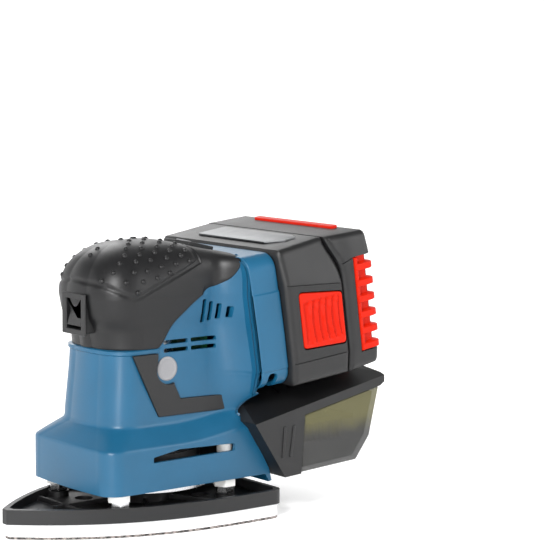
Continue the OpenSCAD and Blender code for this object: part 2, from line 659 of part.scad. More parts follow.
module release_spring() color("silver") in_pack()
  translate([(button_x[0] + button_x[1]) / 2 + 6, -pack_l / 2 + 5.2, -4])
  rotate([-90, 0, 0]) for (k = [0:2]) translate([0, 0, 2 * k]) ring(4, 3, 1);
// The latch reaches out of the slot's floor into the rail; d widens it, travel makes it a pocket
module latch_block(d, travel) translate([pack_front + rail_depth - latch_out - d, latch_y - d, -5 - d])
  cube([latch_out + 6 + travel + 2 * d, 5 + 2 * d, 10 + 2 * d]);
module release_latch() color("dimgray") in_pack() latch_block(0, 0);

// ---- dust box ----
// Side outline of the box: its front follows the housing, its roof follows the pack
roof_tilt = tan(pack_tilt);
roof_z0 = pack_centre[2] - (pack_w / 2 + 2) / cos(pack_tilt) - pack_centre[0] * roof_tilt;
function roof(x) = roof_z0 + x * roof_tilt;
rim_slope = 0.196;
function rim(x) = rear_knee[1] + rim_slope * (x - rear_knee[0]);
module box_profile(d) polygon(inset([rear_foot, [114, box_z + 3], [124, 38], [box_end - 3,
  rim(box_end) - 6],
  [box_end, rim(box_end) - 4], [box_end, rim(box_end) + 1], [box_end - 6, roof(box_end - 6) - 1.5],
  [rear_top[0] + 1.5, min(roof(rear_top[0] + 1.5), rear_top[1] - 0.3)], rear_knee], d));
module box_solid(d) intersection() {
  side_on(box_w / 2 - d) box_profile(d);
  slope_section(d);
}
// The roof falls to each side, and its eaves climb rearwards with the rim
module slope_section(d) translate([rear_knee[0], 0, rear_knee[1]]) rotate([0, -atan(rim_slope), 0])
  end_on(far) polygon([[-box_w / 2 + d, -far], [box_w / 2 - d, -far], [box_w / 2 - d, -0.2 - d],
    [box_w / 2 - 40, 15 - d],
    [40 - box_w / 2, 15 - d], [-box_w / 2 + d, -0.2 - d]]);
tub_x = 71;
module tub_zone(d) side_on(far) polygon([[tub_x + d, -10], [far, -10], [far, rim(far) - 5.5 - d],
  [tub_x + 5 + d, rim(tub_x + 5) - 5.5 - d]]);
module dust_box_frame() color([0.1, 0.1, 0.1]) difference() {
  box_solid(0);
  difference() {
    box_solid(2.4);
    side_on(far) polygon([[tub_x - 3, -10], [tub_x, -10], [tub_x + 5, rim(tub_x) - 4], [tub_x + 2,
      rim(tub_x) - 4]]);
  }
  tub_zone(-0.1);
  translate([0, -duct_hw - 0.5, duct_z - 0.5]) cube([tub_x + 8, 2 * duct_hw + 1, duct_h + 1]);
  for (s = [-1, 1], k = [0:6]) translate([70 + 8 * k, s * 24 - 9, 0]) translate([0, 0, 60])
    cube([2.4, 18, 40]);
}
module dust_box_tub() color([0.45, 0.45, 0.4, 0.5]) difference() {
  intersection() {
    box_solid(0.6);
    tub_zone(0.2);
  }
  intersection() {
    box_solid(0.6 + tub_wall);
    side_on(far) polygon([[0, -10], [far, -10], [far, rim(far) - 5.7 - tub_wall], [0,
      rim(0) - 5.7 - tub_wall]]);
  }
}
filter_hw = box_w / 2 - 8;
filter_end = 118;
filter_z = 48;
pleat = 3.4;
module filter_frame() color([0.2, 0.2, 0.2]) translate([tub_x + 5, 0, filter_z]) difference() {
  translate([0, -filter_hw, 0]) cube([filter_end - tub_x - 5, 2 * filter_hw, 3]);
  translate([3, 3 - filter_hw, -1]) cube([filter_end - tub_x - 11, 2 * filter_hw - 6, 5]);
}
module filter_paper() color("khaki") for (k = [0:floor((filter_end - tub_x - 12) / pleat) - 1])
  translate([tub_x + 8.6 + pleat * k, 3.2 - filter_hw, filter_z - 11])
    cube([1.8, 2 * filter_hw - 6.4, 14]);

sanding_sheet();
foam_pad();
sanding_plate();
post_nuts();
plate_screws();
flex_posts();
plate_bearing_outer();
plate_bearing_inner();
base_ring();
fan_housing();
fan();
counterweight();
motor_shaft();
rotor_core();
motor_can();
stator_coils();
motor_end_cap();
bearing_plate();
lower_bearing_outer();
lower_bearing_inner();
upper_bearing_outer();
upper_bearing_inner();
housing_left();
housing_right();
housing_screws();
soft_grip();
bumper_left();
bumper_right();
switch_frame();
switch_rocker();
switch_module();
control_panel();
led_window();
speed_button();
control_board();
board_parts();
dock_left();
dock_right();
dock_rail();
dock_contacts();
pack_case_top();
pack_case_base();
pack_bumper_ends();
pack_bumper_sides();
pack_labels();
pack_cells();
cell_holder();
pack_board();
pack_terminals();
pack_screws();
release_button();
release_spring();
release_latch();
dust_box_frame();
dust_box_tub();
filter_frame();
filter_paper();
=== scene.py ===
"""Looks of the cordless detail sander: skins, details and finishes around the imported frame.

Sizes are in millimetres and places come from the frame's own boxes; meshes are made in metres.
The tool's tip points to -X, its left side is -Y, and the sanding face lies on z = 0.
"""

import json
import math

import bmesh
import bpy
import numpy as np
from mathutils import Matrix, Vector
from mathutils.geometry import delaunay_2d_cdt


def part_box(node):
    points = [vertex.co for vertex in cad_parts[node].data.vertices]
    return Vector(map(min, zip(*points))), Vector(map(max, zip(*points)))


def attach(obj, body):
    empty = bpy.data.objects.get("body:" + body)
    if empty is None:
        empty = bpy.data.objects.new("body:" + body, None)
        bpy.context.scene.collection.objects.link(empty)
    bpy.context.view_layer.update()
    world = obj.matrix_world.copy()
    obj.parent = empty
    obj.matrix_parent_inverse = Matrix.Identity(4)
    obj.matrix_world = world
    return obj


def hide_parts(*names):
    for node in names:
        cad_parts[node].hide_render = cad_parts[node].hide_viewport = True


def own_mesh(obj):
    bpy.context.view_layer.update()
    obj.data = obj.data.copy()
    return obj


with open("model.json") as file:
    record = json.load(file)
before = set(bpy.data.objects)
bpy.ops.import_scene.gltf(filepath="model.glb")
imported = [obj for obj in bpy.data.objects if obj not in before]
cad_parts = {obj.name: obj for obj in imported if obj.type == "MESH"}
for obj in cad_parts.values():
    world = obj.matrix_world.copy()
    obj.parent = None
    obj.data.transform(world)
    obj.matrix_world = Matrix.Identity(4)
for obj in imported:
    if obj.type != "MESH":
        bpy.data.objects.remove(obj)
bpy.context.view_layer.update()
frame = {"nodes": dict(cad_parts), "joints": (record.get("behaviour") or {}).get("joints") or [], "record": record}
MM = 0.001


# ---- places read from the frame, in millimetres ----

def box_of(*nodes):
    """Lowest and highest corner of the nodes together."""
    corners = np.array([[list(c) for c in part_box(node)] for node in nodes]) / MM
    return corners[:, 0].min(axis=0), corners[:, 1].max(axis=0)


def joint(name):
    """The frame's joint of that name."""
    return next(j for j in frame["joints"] if j["name"] == name)


PACK_LO, PACK_HI = box_of("pack_case_top", "pack_case_base")
PACK_AXIS = np.array(joint("latch_draw")["axis"])
PACK_UP = np.array([-PACK_AXIS[2], 0.0, PACK_AXIS[0]])
PACK_AT = (PACK_LO + PACK_HI) / 2
PACK_HALF = 58.0                      # half the pack's length, across the tool
PACK_D = 31.0                         # half its depth
PACK_H = 39.3                         # half its height
PARTING = 9.5                         # plane between the two pack shells
SEAM = -PACK_D - 16.3                 # plane between housing and dock
COLLAR = box_of("soft_grip")[0][2]    # height of the grip's lower edge
GRIP_TOP = box_of("soft_grip")[1][2]
SKIRT_Z = box_of("base_ring")[1][2]   # lower edge of the skirt
SKIRT_X = box_of("housing_left")[0][0]
SKIRT_HW = 39.5                       # half the skirt's width
TUB_FOOT = box_of("dust_box_tub")[0][2]
RAIL_Y = -40.0                        # where the pack's slot for the rail ends
RAIL_STEP, RAIL_DEEP = 6.0, 10.8      # depth of the slot's lips and of the slot


def in_pack(depth, across, up):
    """Points of the pack's own leaning frame in the tool's frame."""
    depth, across, up = np.broadcast_arrays(depth, across, up)
    return (PACK_AT + depth[..., None] * PACK_AXIS + up[..., None] * PACK_UP
            + across[..., None] * np.array([0.0, 1.0, 0.0]))


# ---- curves ----

def smooth(t):
    """The cubic step 3t^2 - 2t^3 from 0 to 1."""
    t = np.clip(t, 0, 1)
    return t * t * (3 - 2 * t)


def through(x, xs, ys):
    """A monotone cubic through the points (xs, ys), flat beyond its ends."""
    xs, ys = np.asarray(xs, float), np.asarray(ys, float)
    x = np.clip(x, xs[0], xs[-1])
    step, rise = np.diff(xs), np.diff(ys)
    slope = rise / step
    both = slope[1:] * slope[:-1]
    inner = np.where(both > 0, 2 * both / (slope[1:] + slope[:-1] + 1e-12), 0)
    tangent = np.concatenate([[slope[0]], inner, [slope[-1]]])
    k = np.clip(np.searchsorted(xs, x) - 1, 0, len(step) - 1)
    t = (x - xs[k]) / step[k]
    return ((2 * t**3 - 3 * t**2 + 1) * ys[k] + (t**3 - 2 * t**2 + t) * step[k] * tangent[k]
            + (3 * t**2 - 2 * t**3) * ys[k + 1] + (t**3 - t**2) * step[k] * tangent[k + 1])


def rounded(corners, radius, points=6, closed=True):
    """An outline with each corner replaced by the parabola that leaves and meets the sides
    at a distance of radius times the tangent of half the turn, limited by the sides' length."""
    p = np.asarray(corners, float)
    radius = np.broadcast_to(np.asarray(radius, float), (len(p),))
    before, after = np.roll(p, 1, axis=0) - p, np.roll(p, -1, axis=0) - p
    lb, la = np.linalg.norm(before, axis=1), np.linalg.norm(after, axis=1)
    before, after = before / lb[:, None], after / la[:, None]
    turn = np.pi - np.arccos(np.clip((before * after).sum(axis=1), -1, 1))
    reach = np.minimum(radius * np.tan(turn / 2), 0.48 * np.minimum(lb, la))
    t = np.linspace(0, 1, points)[None, :, None]
    start, end = p + before * reach[:, None], p + after * reach[:, None]
    arcs = (1 - t)**2 * start[:, None] + 2 * t * (1 - t) * p[:, None] + t**2 * end[:, None]
    if not closed:
        return np.concatenate([p[:1], arcs[1:-1].reshape(-1, 2), p[-1:]])
    return arcs.reshape(-1, 2)


def spaced(outline, step, closed=True):
    """The outline's points again, evenly spaced about step apart along its length."""
    p = np.vstack([outline, outline[:1]]) if closed else np.asarray(outline)
    along = np.concatenate([[0], np.cumsum(np.linalg.norm(np.diff(p, axis=0), axis=1))])
    count = max(8, int(round(along[-1] / step)))
    at = np.linspace(0, along[-1], count, endpoint=not closed)
    return np.stack([np.interp(at, along, p[:, 0]), np.interp(at, along, p[:, 1])], axis=1)


def area(outline):
    """Signed area of a closed outline."""
    x, y = np.asarray(outline).T
    return 0.5 * np.sum(x * np.roll(y, -1) - np.roll(x, -1) * y)


def inset(outline, depth):
    """A counter-clockwise outline moved inwards along the bisector of each corner."""
    p = np.asarray(outline, float)
    side = np.roll(p, -1, axis=0) - p
    side = side / np.maximum(np.linalg.norm(side, axis=1), 1e-9)[:, None]
    normal = np.stack([-side[:, 1], side[:, 0]], axis=1)
    before = np.roll(normal, 1, axis=0)
    share = 1 + (normal * before).sum(axis=1)
    return p + depth * (normal + before) / np.maximum(share, 0.35)[:, None]


# ---- meshes ----

def add_mesh(name, points, faces, smoothed=True, sharp=35):
    """A new object from points in millimetres and lists of corner numbers."""
    mesh = bpy.data.meshes.new(name)
    mesh.from_pydata(np.asarray(points, float) * MM, [], [list(f) for f in faces])
    mesh.validate()
    mesh.update()
    piece = bpy.data.objects.new(name, mesh)
    bpy.context.scene.collection.objects.link(piece)
    shade(piece, smoothed, sharp)
    return piece


def shade(piece, smoothed=True, sharp=35):
    """Smooth shading with edges sharper than the given angle kept crisp."""
    mesh = piece.data
    mesh.polygons.foreach_set("use_smooth", np.full(len(mesh.polygons), smoothed))
    if smoothed:
        mesh.set_sharp_from_angle(angle=math.radians(sharp))
    mesh.update()


def grid_faces(rows, columns, wrap=False, start=0):
    """Quads of a grid of points; wrap joins the last column to the first."""
    across = np.arange(columns if wrap else columns - 1)
    i, j = np.meshgrid(np.arange(rows - 1), across, indexing="ij")
    k = (j + 1) % columns
    return (start + np.stack([i * columns + j, i * columns + k, (i + 1) * columns + k, (i + 1) * columns + j],
                             axis=-1)).reshape(-1, 4)


def surface(name, points, wrap=False):
    """An object from a grid of points, shaped rows by columns by three."""
    rows, columns = points.shape[:2]
    return add_mesh(name, points.reshape(-1, 3), grid_faces(rows, columns, wrap))


def filled(outline, step):
    """Triangles over a flat outline, with a grid of inner points step apart."""
    low, high = outline.min(axis=0), outline.max(axis=0)
    gx, gy = np.meshgrid(*(np.arange(a + step / 2, b, step) for a, b in zip(low, high)))
    inner = np.stack([gx.ravel(), gy.ravel()], axis=1)
    tip, tail = outline, np.roll(outline, -1, axis=0)
    y, x = inner[:, 1, None], inner[:, 0, None]
    crossing = (tip[:, 1] > y) != (tail[:, 1] > y)
    rise = np.where(np.abs(tail[:, 1] - tip[:, 1]) < 1e-9, 1e-9, tail[:, 1] - tip[:, 1])
    left = x < (tail[:, 0] - tip[:, 0]) * (y - tip[:, 1]) / rise + tip[:, 0]
    inside = (crossing & left).sum(axis=1) % 2 == 1
    near = np.linalg.norm(inner[:, None] - spaced(outline, step / 2)[None], axis=2).min(axis=1) < 0.45 * step
    inner = inner[inside & ~near]
    points = [Vector(p) for p in np.vstack([outline, inner])]
    edge = list(range(len(outline)))
    verts, _, faces, *_ = delaunay_2d_cdt(points, [], [edge], 1, 1e-6)
    return np.array([v[:] for v in verts]), faces


def pad(name, outline, levels, place, step=0, relief=None):
    """A slab with shaped edges: the outline is moved in by levels[k][0] at height levels[k][1],
    the top is filled, and place(a, b, height) puts it in the tool's frame. relief(a, b) adds height
    to the top, and step gives it inner points so that it can follow a curved place."""
    outline = outline if area(outline) > 0 else outline[::-1]
    rings = [np.column_stack([inset(outline, d), np.full(len(outline), h)]) for d, h in levels]
    count = len(outline)
    points = np.vstack(rings)
    faces = [list(f) for f in grid_faces(len(rings), count, wrap=True)]
    top_h = levels[-1][1]
    if step:
        flat, tris = filled(rings[-1][:, :2], step)
        base = len(points)
        points = np.vstack([points, np.column_stack([flat, np.full(len(flat), top_h)])])
        faces += [[base + k for k in f] for f in tris]
    else:
        faces.append(list(range((len(rings) - 1) * count, len(rings) * count)))
    faces.append(list(range(count))[::-1])
    if relief is not None:
        top = points[:, 2] >= top_h - 1e-6
        points[top, 2] += relief(points[top, 0], points[top, 1])
    piece = add_mesh(name, place(*points.T), faces)
    tidy_mesh(piece)
    return piece


def tidy_mesh(piece, sharp=35, merge=0.004):
    """Merges points that meet and turns every face outwards."""
    work = bmesh.new()
    work.from_mesh(piece.data)
    bmesh.ops.remove_doubles(work, verts=work.verts, dist=merge * MM)
    bmesh.ops.recalc_face_normals(work, faces=work.faces)
    work.to_mesh(piece.data)
    work.free()
    shade(piece, True, sharp)


def eased_levels(radius, height, back=0.0, steps=4):
    """Pad levels for an upright side and a quarter-round edge of the given radius."""
    turn = np.linspace(0, np.pi / 2, steps)
    return [(0.0, back)] + [(radius * (1 - math.cos(t)), height - radius * (1 - math.sin(t))) for t in turn]


def finished(piece):
    """Bakes the piece's modifiers into its mesh."""
    bpy.context.view_layer.update()
    view = piece.evaluated_get(bpy.context.evaluated_depsgraph_get())
    mesh = bpy.data.meshes.new_from_object(view)
    piece.modifiers.clear()
    piece.data = mesh
    return piece


def walled(piece, thickness, inside):
    """Gives an open skin a wall inwards, after turning its faces away from a point inside it."""
    work = bmesh.new()
    work.from_mesh(piece.data)
    point = Vector(inside) * MM
    facing = sum(f.normal.dot(f.calc_center_median() - point) * f.calc_area() for f in work.faces)
    if facing < 0:
        bmesh.ops.reverse_faces(work, faces=work.faces)
    work.to_mesh(piece.data)
    work.free()
    wall = piece.modifiers.new("wall", "SOLIDIFY")
    wall.thickness = thickness * MM
    wall.offset = -1
    return finished(piece)


def cut(piece, *tools, sharp=32):
    """Cuts the tools' shapes out of the piece and drops the tools."""
    for tool in tools:
        step = piece.modifiers.new("cut", "BOOLEAN")
        step.operation = "DIFFERENCE"
        step.solver = "EXACT"
        step.object = tool
    finished(piece)
    for tool in tools:
        bpy.data.objects.remove(tool)
    shade(piece, True, sharp)
    return piece


def joined(name, *pieces):
    """Several objects made into one."""
    first, *rest = pieces
    work = bmesh.new()
    for piece in pieces:
        work.from_mesh(piece.data)
    mesh = bpy.data.meshes.new(name)
    work.to_mesh(mesh)
    work.free()
    for piece in rest:
        bpy.data.objects.remove(piece)
    first.name, first.data = name, mesh
    mesh.name = name
    return first


def mirrored(name, piece):
    """A copy of the piece on the tool's other side, faces outwards."""
    mesh = piece.data.copy()
    mesh.name = name
    mesh.transform(Matrix.Diagonal((1, -1, 1, 1)))
    mesh.flip_normals()
    other = bpy.data.objects.new(name, mesh)
    bpy.context.scene.collection.objects.link(other)
    return other


def eased_node(node, width):
    """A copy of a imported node, merged, with its edges rounded by a Bevel of the given width."""
    mesh = frame["nodes"][node].data.copy()
    piece = bpy.data.objects.new(node + "_skin", mesh)
    bpy.context.scene.collection.objects.link(piece)
    work = bmesh.new()
    work.from_mesh(mesh)
    bmesh.ops.remove_doubles(work, verts=work.verts, dist=0.002 * MM)
    bmesh.ops.dissolve_limit(work, angle_limit=math.radians(2), verts=work.verts, edges=work.edges)
    work.to_mesh(mesh)
    work.free()
    bevel = piece.modifiers.new("edges", "BEVEL")
    bevel.width = width * MM
    bevel.segments = 3
    bevel.limit_method = "ANGLE"
    bevel.angle_limit = math.radians(30)
    bevel.use_clamp_overlap = True
    bevel.harden_normals = True
    shade(piece, True, 30)
    finished(piece)
    return piece


# ---- finishes ----

class Wire:
    """A socket of a finish; arithmetic on it adds Math nodes."""

    def __init__(self, finish, socket):
        self.finish = finish
        self.socket = socket

    def maths(self, operation, first, second):
        return self.finish.node("ShaderNodeMath", {"operation": operation}, {0: first, 1: second})

    def __add__(self, other):
        return self.maths("ADD", self, other)

    def __sub__(self, other):
        return self.maths("SUBTRACT", self, other)

    def __rsub__(self, other):
        return self.maths("SUBTRACT", other, self)

    def __mul__(self, other):
        return self.maths("MULTIPLY", self, other)

    __radd__ = __add__
    __rmul__ = __mul__


class Finish:
    """A material built node by node on Object coordinates."""

    def __init__(self, name):
        self.material = bpy.data.materials.new(name)
        self.material.use_nodes = True
        self.tree = self.material.node_tree
        self.shader = self.tree.nodes["Principled BSDF"]
        self.place = self.node("ShaderNodeTexCoord", {}, {}, "Object")

    def node(self, kind, settings, inputs, output=0):
        """Adds a node: its settings first, then values or links of its sockets."""
        made = self.tree.nodes.new(kind)
        for key, value in settings.items():
            if key == "stops":
                ramp = made.color_ramp
                while len(ramp.elements) < len(value):
                    ramp.elements.new(0.5)
                for element, (at, colour) in zip(ramp.elements, value):
                    element.position = at
                    element.color = (*colour, 1) if not np.isscalar(colour) else (colour, colour, colour, 1)
            else:
                setattr(made, key, value)
        for key, value in inputs.items():
            self.feed(made.inputs[key], value)
        return Wire(self, made.outputs[output])

    def feed(self, socket, value):
        if isinstance(value, Wire):
            self.tree.links.new(value.socket, socket)
        elif socket.type == "RGBA" and len(value) == 3:
            socket.default_value = (*value, 1)
        else:
            socket.default_value = value

    def noise(self, size, detail=3.0, roughness=0.55, stretch=(1, 1, 1)):
        """Noise whose grains are about size millimetres across."""
        place = self.place
        if stretch != (1, 1, 1):
            place = self.node("ShaderNodeMapping", {}, {"Vector": place, "Scale": stretch})
        inputs = {"Vector": place, "Scale": 1 / (size * MM), "Detail": detail, "Roughness": roughness}
        return self.node("ShaderNodeTexNoise", {}, inputs)

    def ramp(self, value, *stops):
        return self.node("ShaderNodeValToRGB", {"stops": stops}, {"Fac": value})

    def mix(self, share, first, second):
        """Colour between first and second."""
        return self.node("ShaderNodeMix", {"data_type": "RGBA"}, {0: share, 6: first, 7: second}, 2)

    def bump(self, height, distance, strength=1.0):
        inputs = {"Height": height, "Distance": distance * MM, "Strength": strength}
        return self.node("ShaderNodeBump", {}, inputs)

    def out(self, **inputs):
        """Feeds the Principled shader; names use _ for a space."""
        for key, value in inputs.items():
            self.feed(self.shader.inputs[key.replace("_", " ")], value)
        return self.material


def tint(colour, factor):
    return tuple(min(1.0, c * factor) for c in colour)


def moulded(name, colour, rough=0.42, grain=0.35, depth=0.03, spread=0.12, scuff=0.05, **constants):
    """Injection-moulded plastic: spark-eroded grain, slow colour drift, faint rub marks, and lighter specks on the
    grain's peaks that are painted glints.
    """
    f = Finish(name)
    fine, slow, rub = f.noise(grain, 4), f.noise(18, 2), f.noise(4, 5, 0.7)
    marks = f.ramp(rub, (0.55, 0.0), (0.78, 1.0))
    shade_of = f.mix(slow, tint(colour, 1 - spread), tint(colour, 1 + spread))
    worn = f.mix(marks * scuff, shade_of, tint(colour, 1.9))
    # painted highlight: lighter specks where the fine grain is high stand in for the glints it catches
    with_painted_glints = f.mix(f.ramp(fine, (0.35, 0.0), (0.7, 1.0)) * 0.22, worn, tint(colour, 1.35))
    return f.out(Base_Color=with_painted_glints, Roughness=(fine - 0.5) * 0.16 + (slow - 0.5) * 0.12 + rough,
                 Normal=f.bump(fine, depth), **constants)


def soft_touch(name, colour):
    """Overmoulded rubber: very fine grain, dull, with a slight bloom where it is handled."""
    f = Finish(name)
    fine, slow = f.noise(0.22, 3), f.noise(12, 3)
    bloom = f.ramp(slow, (0.42, 0.0), (0.75, 1.0))
    return f.out(Base_Color=f.mix(bloom * 0.5, colour, tint(colour, 1.9)),
                 Roughness=bloom * 0.1 + (fine - 0.5) * 0.1 + 0.4, Normal=f.bump(fine, 0.025),
                 Specular_IOR_Level=0.4)


def metal(name, colour, rough=0.28, stretch=(1, 1, 1), size=0.8, wear=0.35):
    """Turned or plated metal: fine tool marks along one way and cloudy handling marks."""
    f = Finish(name)
    marks, cloud = f.noise(size, 4, 0.6, stretch), f.noise(6, 3)
    return f.out(Base_Color=f.mix(cloud, tint(colour, 1 - wear * 0.4), tint(colour, 1.05)), Metallic=1.0,
                 Roughness=(marks - 0.5) * 0.22 + (cloud - 0.5) * 0.16 + rough, Normal=f.bump(marks, 0.012))


def foam(name, colour):
    """Closed-cell foam under its loop face: small cells in the surface."""
    f = Finish(name)
    cells = f.node("ShaderNodeTexVoronoi", {"feature": "F1"}, {"Vector": f.place, "Scale": 1 / (0.9 * MM)})
    slow = f.noise(9, 3)
    return f.out(Base_Color=f.mix(slow, tint(colour, 0.93), colour), Roughness=(cells - 0.4) * 0.1 + 0.85,
                 Normal=f.bump(cells, 0.05, 0.6))


def grit(name, paper, grains):
    """Abrasive paper: dark grains close together on a resin-coated paper."""
    f = Finish(name)
    cells = f.node("ShaderNodeTexVoronoi", {"feature": "F1"}, {"Vector": f.place, "Scale": 1 / (0.45 * MM)})
    broken = f.noise(1.6, 4, 0.7)
    share = f.ramp(broken, (0.42, 0.0), (0.55, 1.0))
    return f.out(Base_Color=f.mix(share, paper, grains), Roughness=share * 0.25 + 0.6,
                 Normal=f.bump(cells, 0.12))


def clear(name, colour, alpha, dust=None, low=0.0, high=1.0):
    """Smoke-tinted clear plastic with fine rub marks; where dust is given, a film of it tints the inside
    more and more between the two heights."""
    f = Finish(name)
    haze, rub = f.noise(9, 2), f.noise(1.2, 4, 0.7)
    body = f.mix(haze, tint(colour, 0.9), tint(colour, 1.1))
    if dust:
        height = f.node("ShaderNodeSeparateXYZ", {}, {"Vector": f.place}, 2)
        film = f.ramp((height - low) * (1 / (high - low)) + (haze - 0.5) * 0.3, (0.3, 0.0), (0.7, 1.0))
        body = f.mix(film, body, dust)
    return f.out(Base_Color=body, Roughness=haze * 0.1 + (rub - 0.5) * 0.08 + 0.2,
                 Alpha=(haze - 0.5) * 0.06 + alpha, Specular_IOR_Level=0.3)


def felted(name, colour):
    """Filter paper: matted fibres, darker where dust has gathered."""
    f = Finish(name)
    fibres, dust = f.noise(0.5, 5, 0.7, (1, 0.25, 1)), f.noise(9, 3)
    return f.out(Base_Color=f.mix(dust, tint(colour, 0.72), tint(colour, 1.1)),
                 Roughness=(fibres - 0.5) * 0.1 + 0.88, Normal=f.bump(fibres, 0.08))


def board(name, colour):
    """A circuit board: solder mask with tracks showing as faint ridges."""
    f = Finish(name)
    tracks = f.node("ShaderNodeTexBrick", {}, {"Vector": f.place, "Scale": 220.0, "Mortar Size": 0.03}, 1)
    slow = f.noise(5, 3)
    return f.out(Base_Color=f.mix(slow, tint(colour, 0.8), tint(colour, 1.2)),
                 Roughness=(slow - 0.5) * 0.2 + 0.35, Normal=f.bump(tracks, 0.04))


def all_finishes():
    """One finish for each slot of the record."""
    blue, black, red = (0.005, 0.077, 0.155), (0.0045, 0.0045, 0.005), (0.52, 0.012, 0.002)
    return {
        "housing_blue": moulded("housing blue plastic", blue, rough=0.36, Specular_IOR_Level=0.45),
        "grip_rubber": soft_touch("grip rubber", (0.0045, 0.0045, 0.005)),
        "black_plastic": moulded("black glass-filled plastic", black, rough=0.46, grain=0.45, depth=0.045,
                                 spread=0.2),
        "inner_plastic": moulded("inner black plastic", tint(black, 1.4), rough=0.5),
        "rocker_plastic": moulded("rocker plastic", tint(black, 0.8), rough=0.25, depth=0.01),
        "button_grey": moulded("button grey plastic", (0.22, 0.22, 0.23), rough=0.4),
        "lens": clear("lamp window", (0.5, 0.75, 0.55), 0.6),
        "board_green": board("board mask", (0.01, 0.1, 0.04)),
        "electronics": moulded("component epoxy", (0.015, 0.015, 0.015), rough=0.5),
        "contact_brass": metal("contact brass", (0.78, 0.56, 0.24), 0.22),
        "steel": metal("machined steel", (0.66, 0.66, 0.67), 0.25),
        "screw_steel": metal("plated steel", (0.72, 0.72, 0.73), 0.2),
        "copper": metal("enamelled copper", (0.62, 0.24, 0.1), 0.3, (1, 1, 12)),
        "weight_brass": metal("weight brass", (0.6, 0.42, 0.18), 0.35),
        "cast_alloy": metal("die-cast alloy", (0.6, 0.6, 0.62), 0.45),
        "post_white": moulded("natural nylon", (0.78, 0.78, 0.76), rough=0.35, spread=0.04, scuff=0.0),
        "pad_white": foam("pad foam", (0.86, 0.86, 0.87)),
        "abrasive": grit("abrasive", (0.3, 0.26, 0.24), (0.02, 0.018, 0.018)),
        "pack_red": moulded("pack red plastic", red, grain=0.6, spread=0.08, scuff=0.02,
                            Specular_IOR_Level=0.12),
        "label_silver": metal("label foil", (0.15, 0.155, 0.16), 0.4, (1, 14, 1)),
        "cell_wrap": moulded("cell wrap", (0.02, 0.2, 0.16), rough=0.25, depth=0.005),
        "smoke_clear": clear("smoke clear plastic", (0.045, 0.045, 0.044), 0.74, (0.12, 0.112, 0.05),
                             (TUB_FOOT + 12) * MM, (TUB_FOOT + 34) * MM),
        "filter_felt": felted("filter paper", (0.5, 0.47, 0.2)),
    }


FINISH = all_finishes()
SLOT_OF = {part["node"]: part["material_slot"] for part in frame["record"]["subparts"]}
BODY_OF = {node: body for body, nodes in frame["record"]["behaviour"]["bodies"].items() for node in nodes}


def paint(piece, slot):
    """Gives the piece the slot's finish."""
    piece.data.materials.clear()
    piece.data.materials.append(FINISH[slot])


def stands_for(piece, *nodes):
    """The piece takes the nodes' place, body and finish."""
    paint(piece, SLOT_OF[nodes[0]])
    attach(piece, BODY_OF[nodes[0]])
    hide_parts(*nodes)
    return piece


def trim(piece, body, slot):
    """A further detail that rides on a body."""
    paint(piece, slot)
    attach(piece, body)
    return piece


# ---- the housing's skin ----

def seam_x(z):
    """Where the plane between housing and dock lies at height z."""
    up = (z - PACK_AT[2] - SEAM * PACK_AXIS[2]) / PACK_UP[2]
    return PACK_AT[0] + SEAM * PACK_AXIS[0] + up * PACK_UP[0]


NECK_Z = SKIRT_Z + 33                  # where the neck stands on the shoulder
EQUATOR = COLLAR + 28                  # widest height of the grip
RIDGE_X = -12.0                        # where the ridge along the grip's top starts
KNEE = (41.0, 54.0)                    # the housing's rear edge turns here
FOOT = (62.0, 22.0)
DOCK_FOOT = (48.5, 68.0)
FRONT_SHARE = np.linspace(0, 1, 22, endpoint=False)
CORNER_TURN = np.linspace(0, np.pi / 2, 26, endpoint=False)
SIDE_SHARE = np.concatenate([np.linspace(0, 0.62, 40, endpoint=False), np.linspace(0.62, 1, 60)])
REAR_TURN = np.linspace(0, np.pi / 2, 6)[1:]
COLUMNS = len(FRONT_SHARE) + len(CORNER_TURN) + len(SIDE_SHARE)


def neck_half(z):
    """Half-width of the neck and grip below the dome."""
    heights = [SKIRT_Z, NECK_Z, COLLAR, COLLAR + 9, COLLAR + 19, EQUATOR]
    return through(z, heights, [31, 29.6, 27.6, 27.2, 29.4, 31])


def neck_front(z):
    """Where the front of the neck and grip lies at height z."""
    heights = [SKIRT_Z, NECK_Z, COLLAR, COLLAR + 10, COLLAR + 19, EQUATOR]
    return through(z, heights, [-39.5, -38.6, -36, -37.4, -41, -42])


def dock_side(way, up):
    """Half-width of the dock: it widens by the 0.8th power of the way to the pack, leans in above a
    stepped line and on the panel under it, and tucks in below a second line."""
    width = 49.8 + 3.4 * way**0.8
    upper, panel, lower = 16.0, -8.0, -27.5
    width = width - 0.05 * np.clip(up - upper, 0, 99) - 0.6 * smooth((up - upper) / 0.9 + 0.5)
    width = width - 0.035 * (np.clip(up, panel, upper) - panel) - 0.25 * np.clip(lower - up, 0, 99)
    return width - 0.7 * np.exp(-((up - lower) / 0.6)**2)


def dock_half(z):
    """Half-width of the housing at the dock's seam: the dock's own, narrowing below its foot."""
    up = (z - PACK_AT[2] - SEAM * PACK_AXIS[2]) / PACK_UP[2]
    return dock_side(0.0, np.clip(up, -30, 12)) - 0.4 - through(z, [50, 60, 70, 82], [17.5, 12.5, 5.5, 0])


def flare(x, z):
    """How far the neck's side stands out towards the dock: the 2.4th power of the way to the seam."""
    way = np.clip((x - 24) / (seam_x(z) - 24), 0, 1.05)
    return (dock_half(z) - neck_half(z)) * way**2.4


def rear_edge(z):
    """Rear end of the housing's side at height z."""
    lower = np.interp(z, [FOOT[1], KNEE[1], DOCK_FOOT[1]], [FOOT[0], KNEE[0], DOCK_FOOT[0]])
    return np.where(z < DOCK_FOOT[1], lower, seam_x(z)) - 0.35


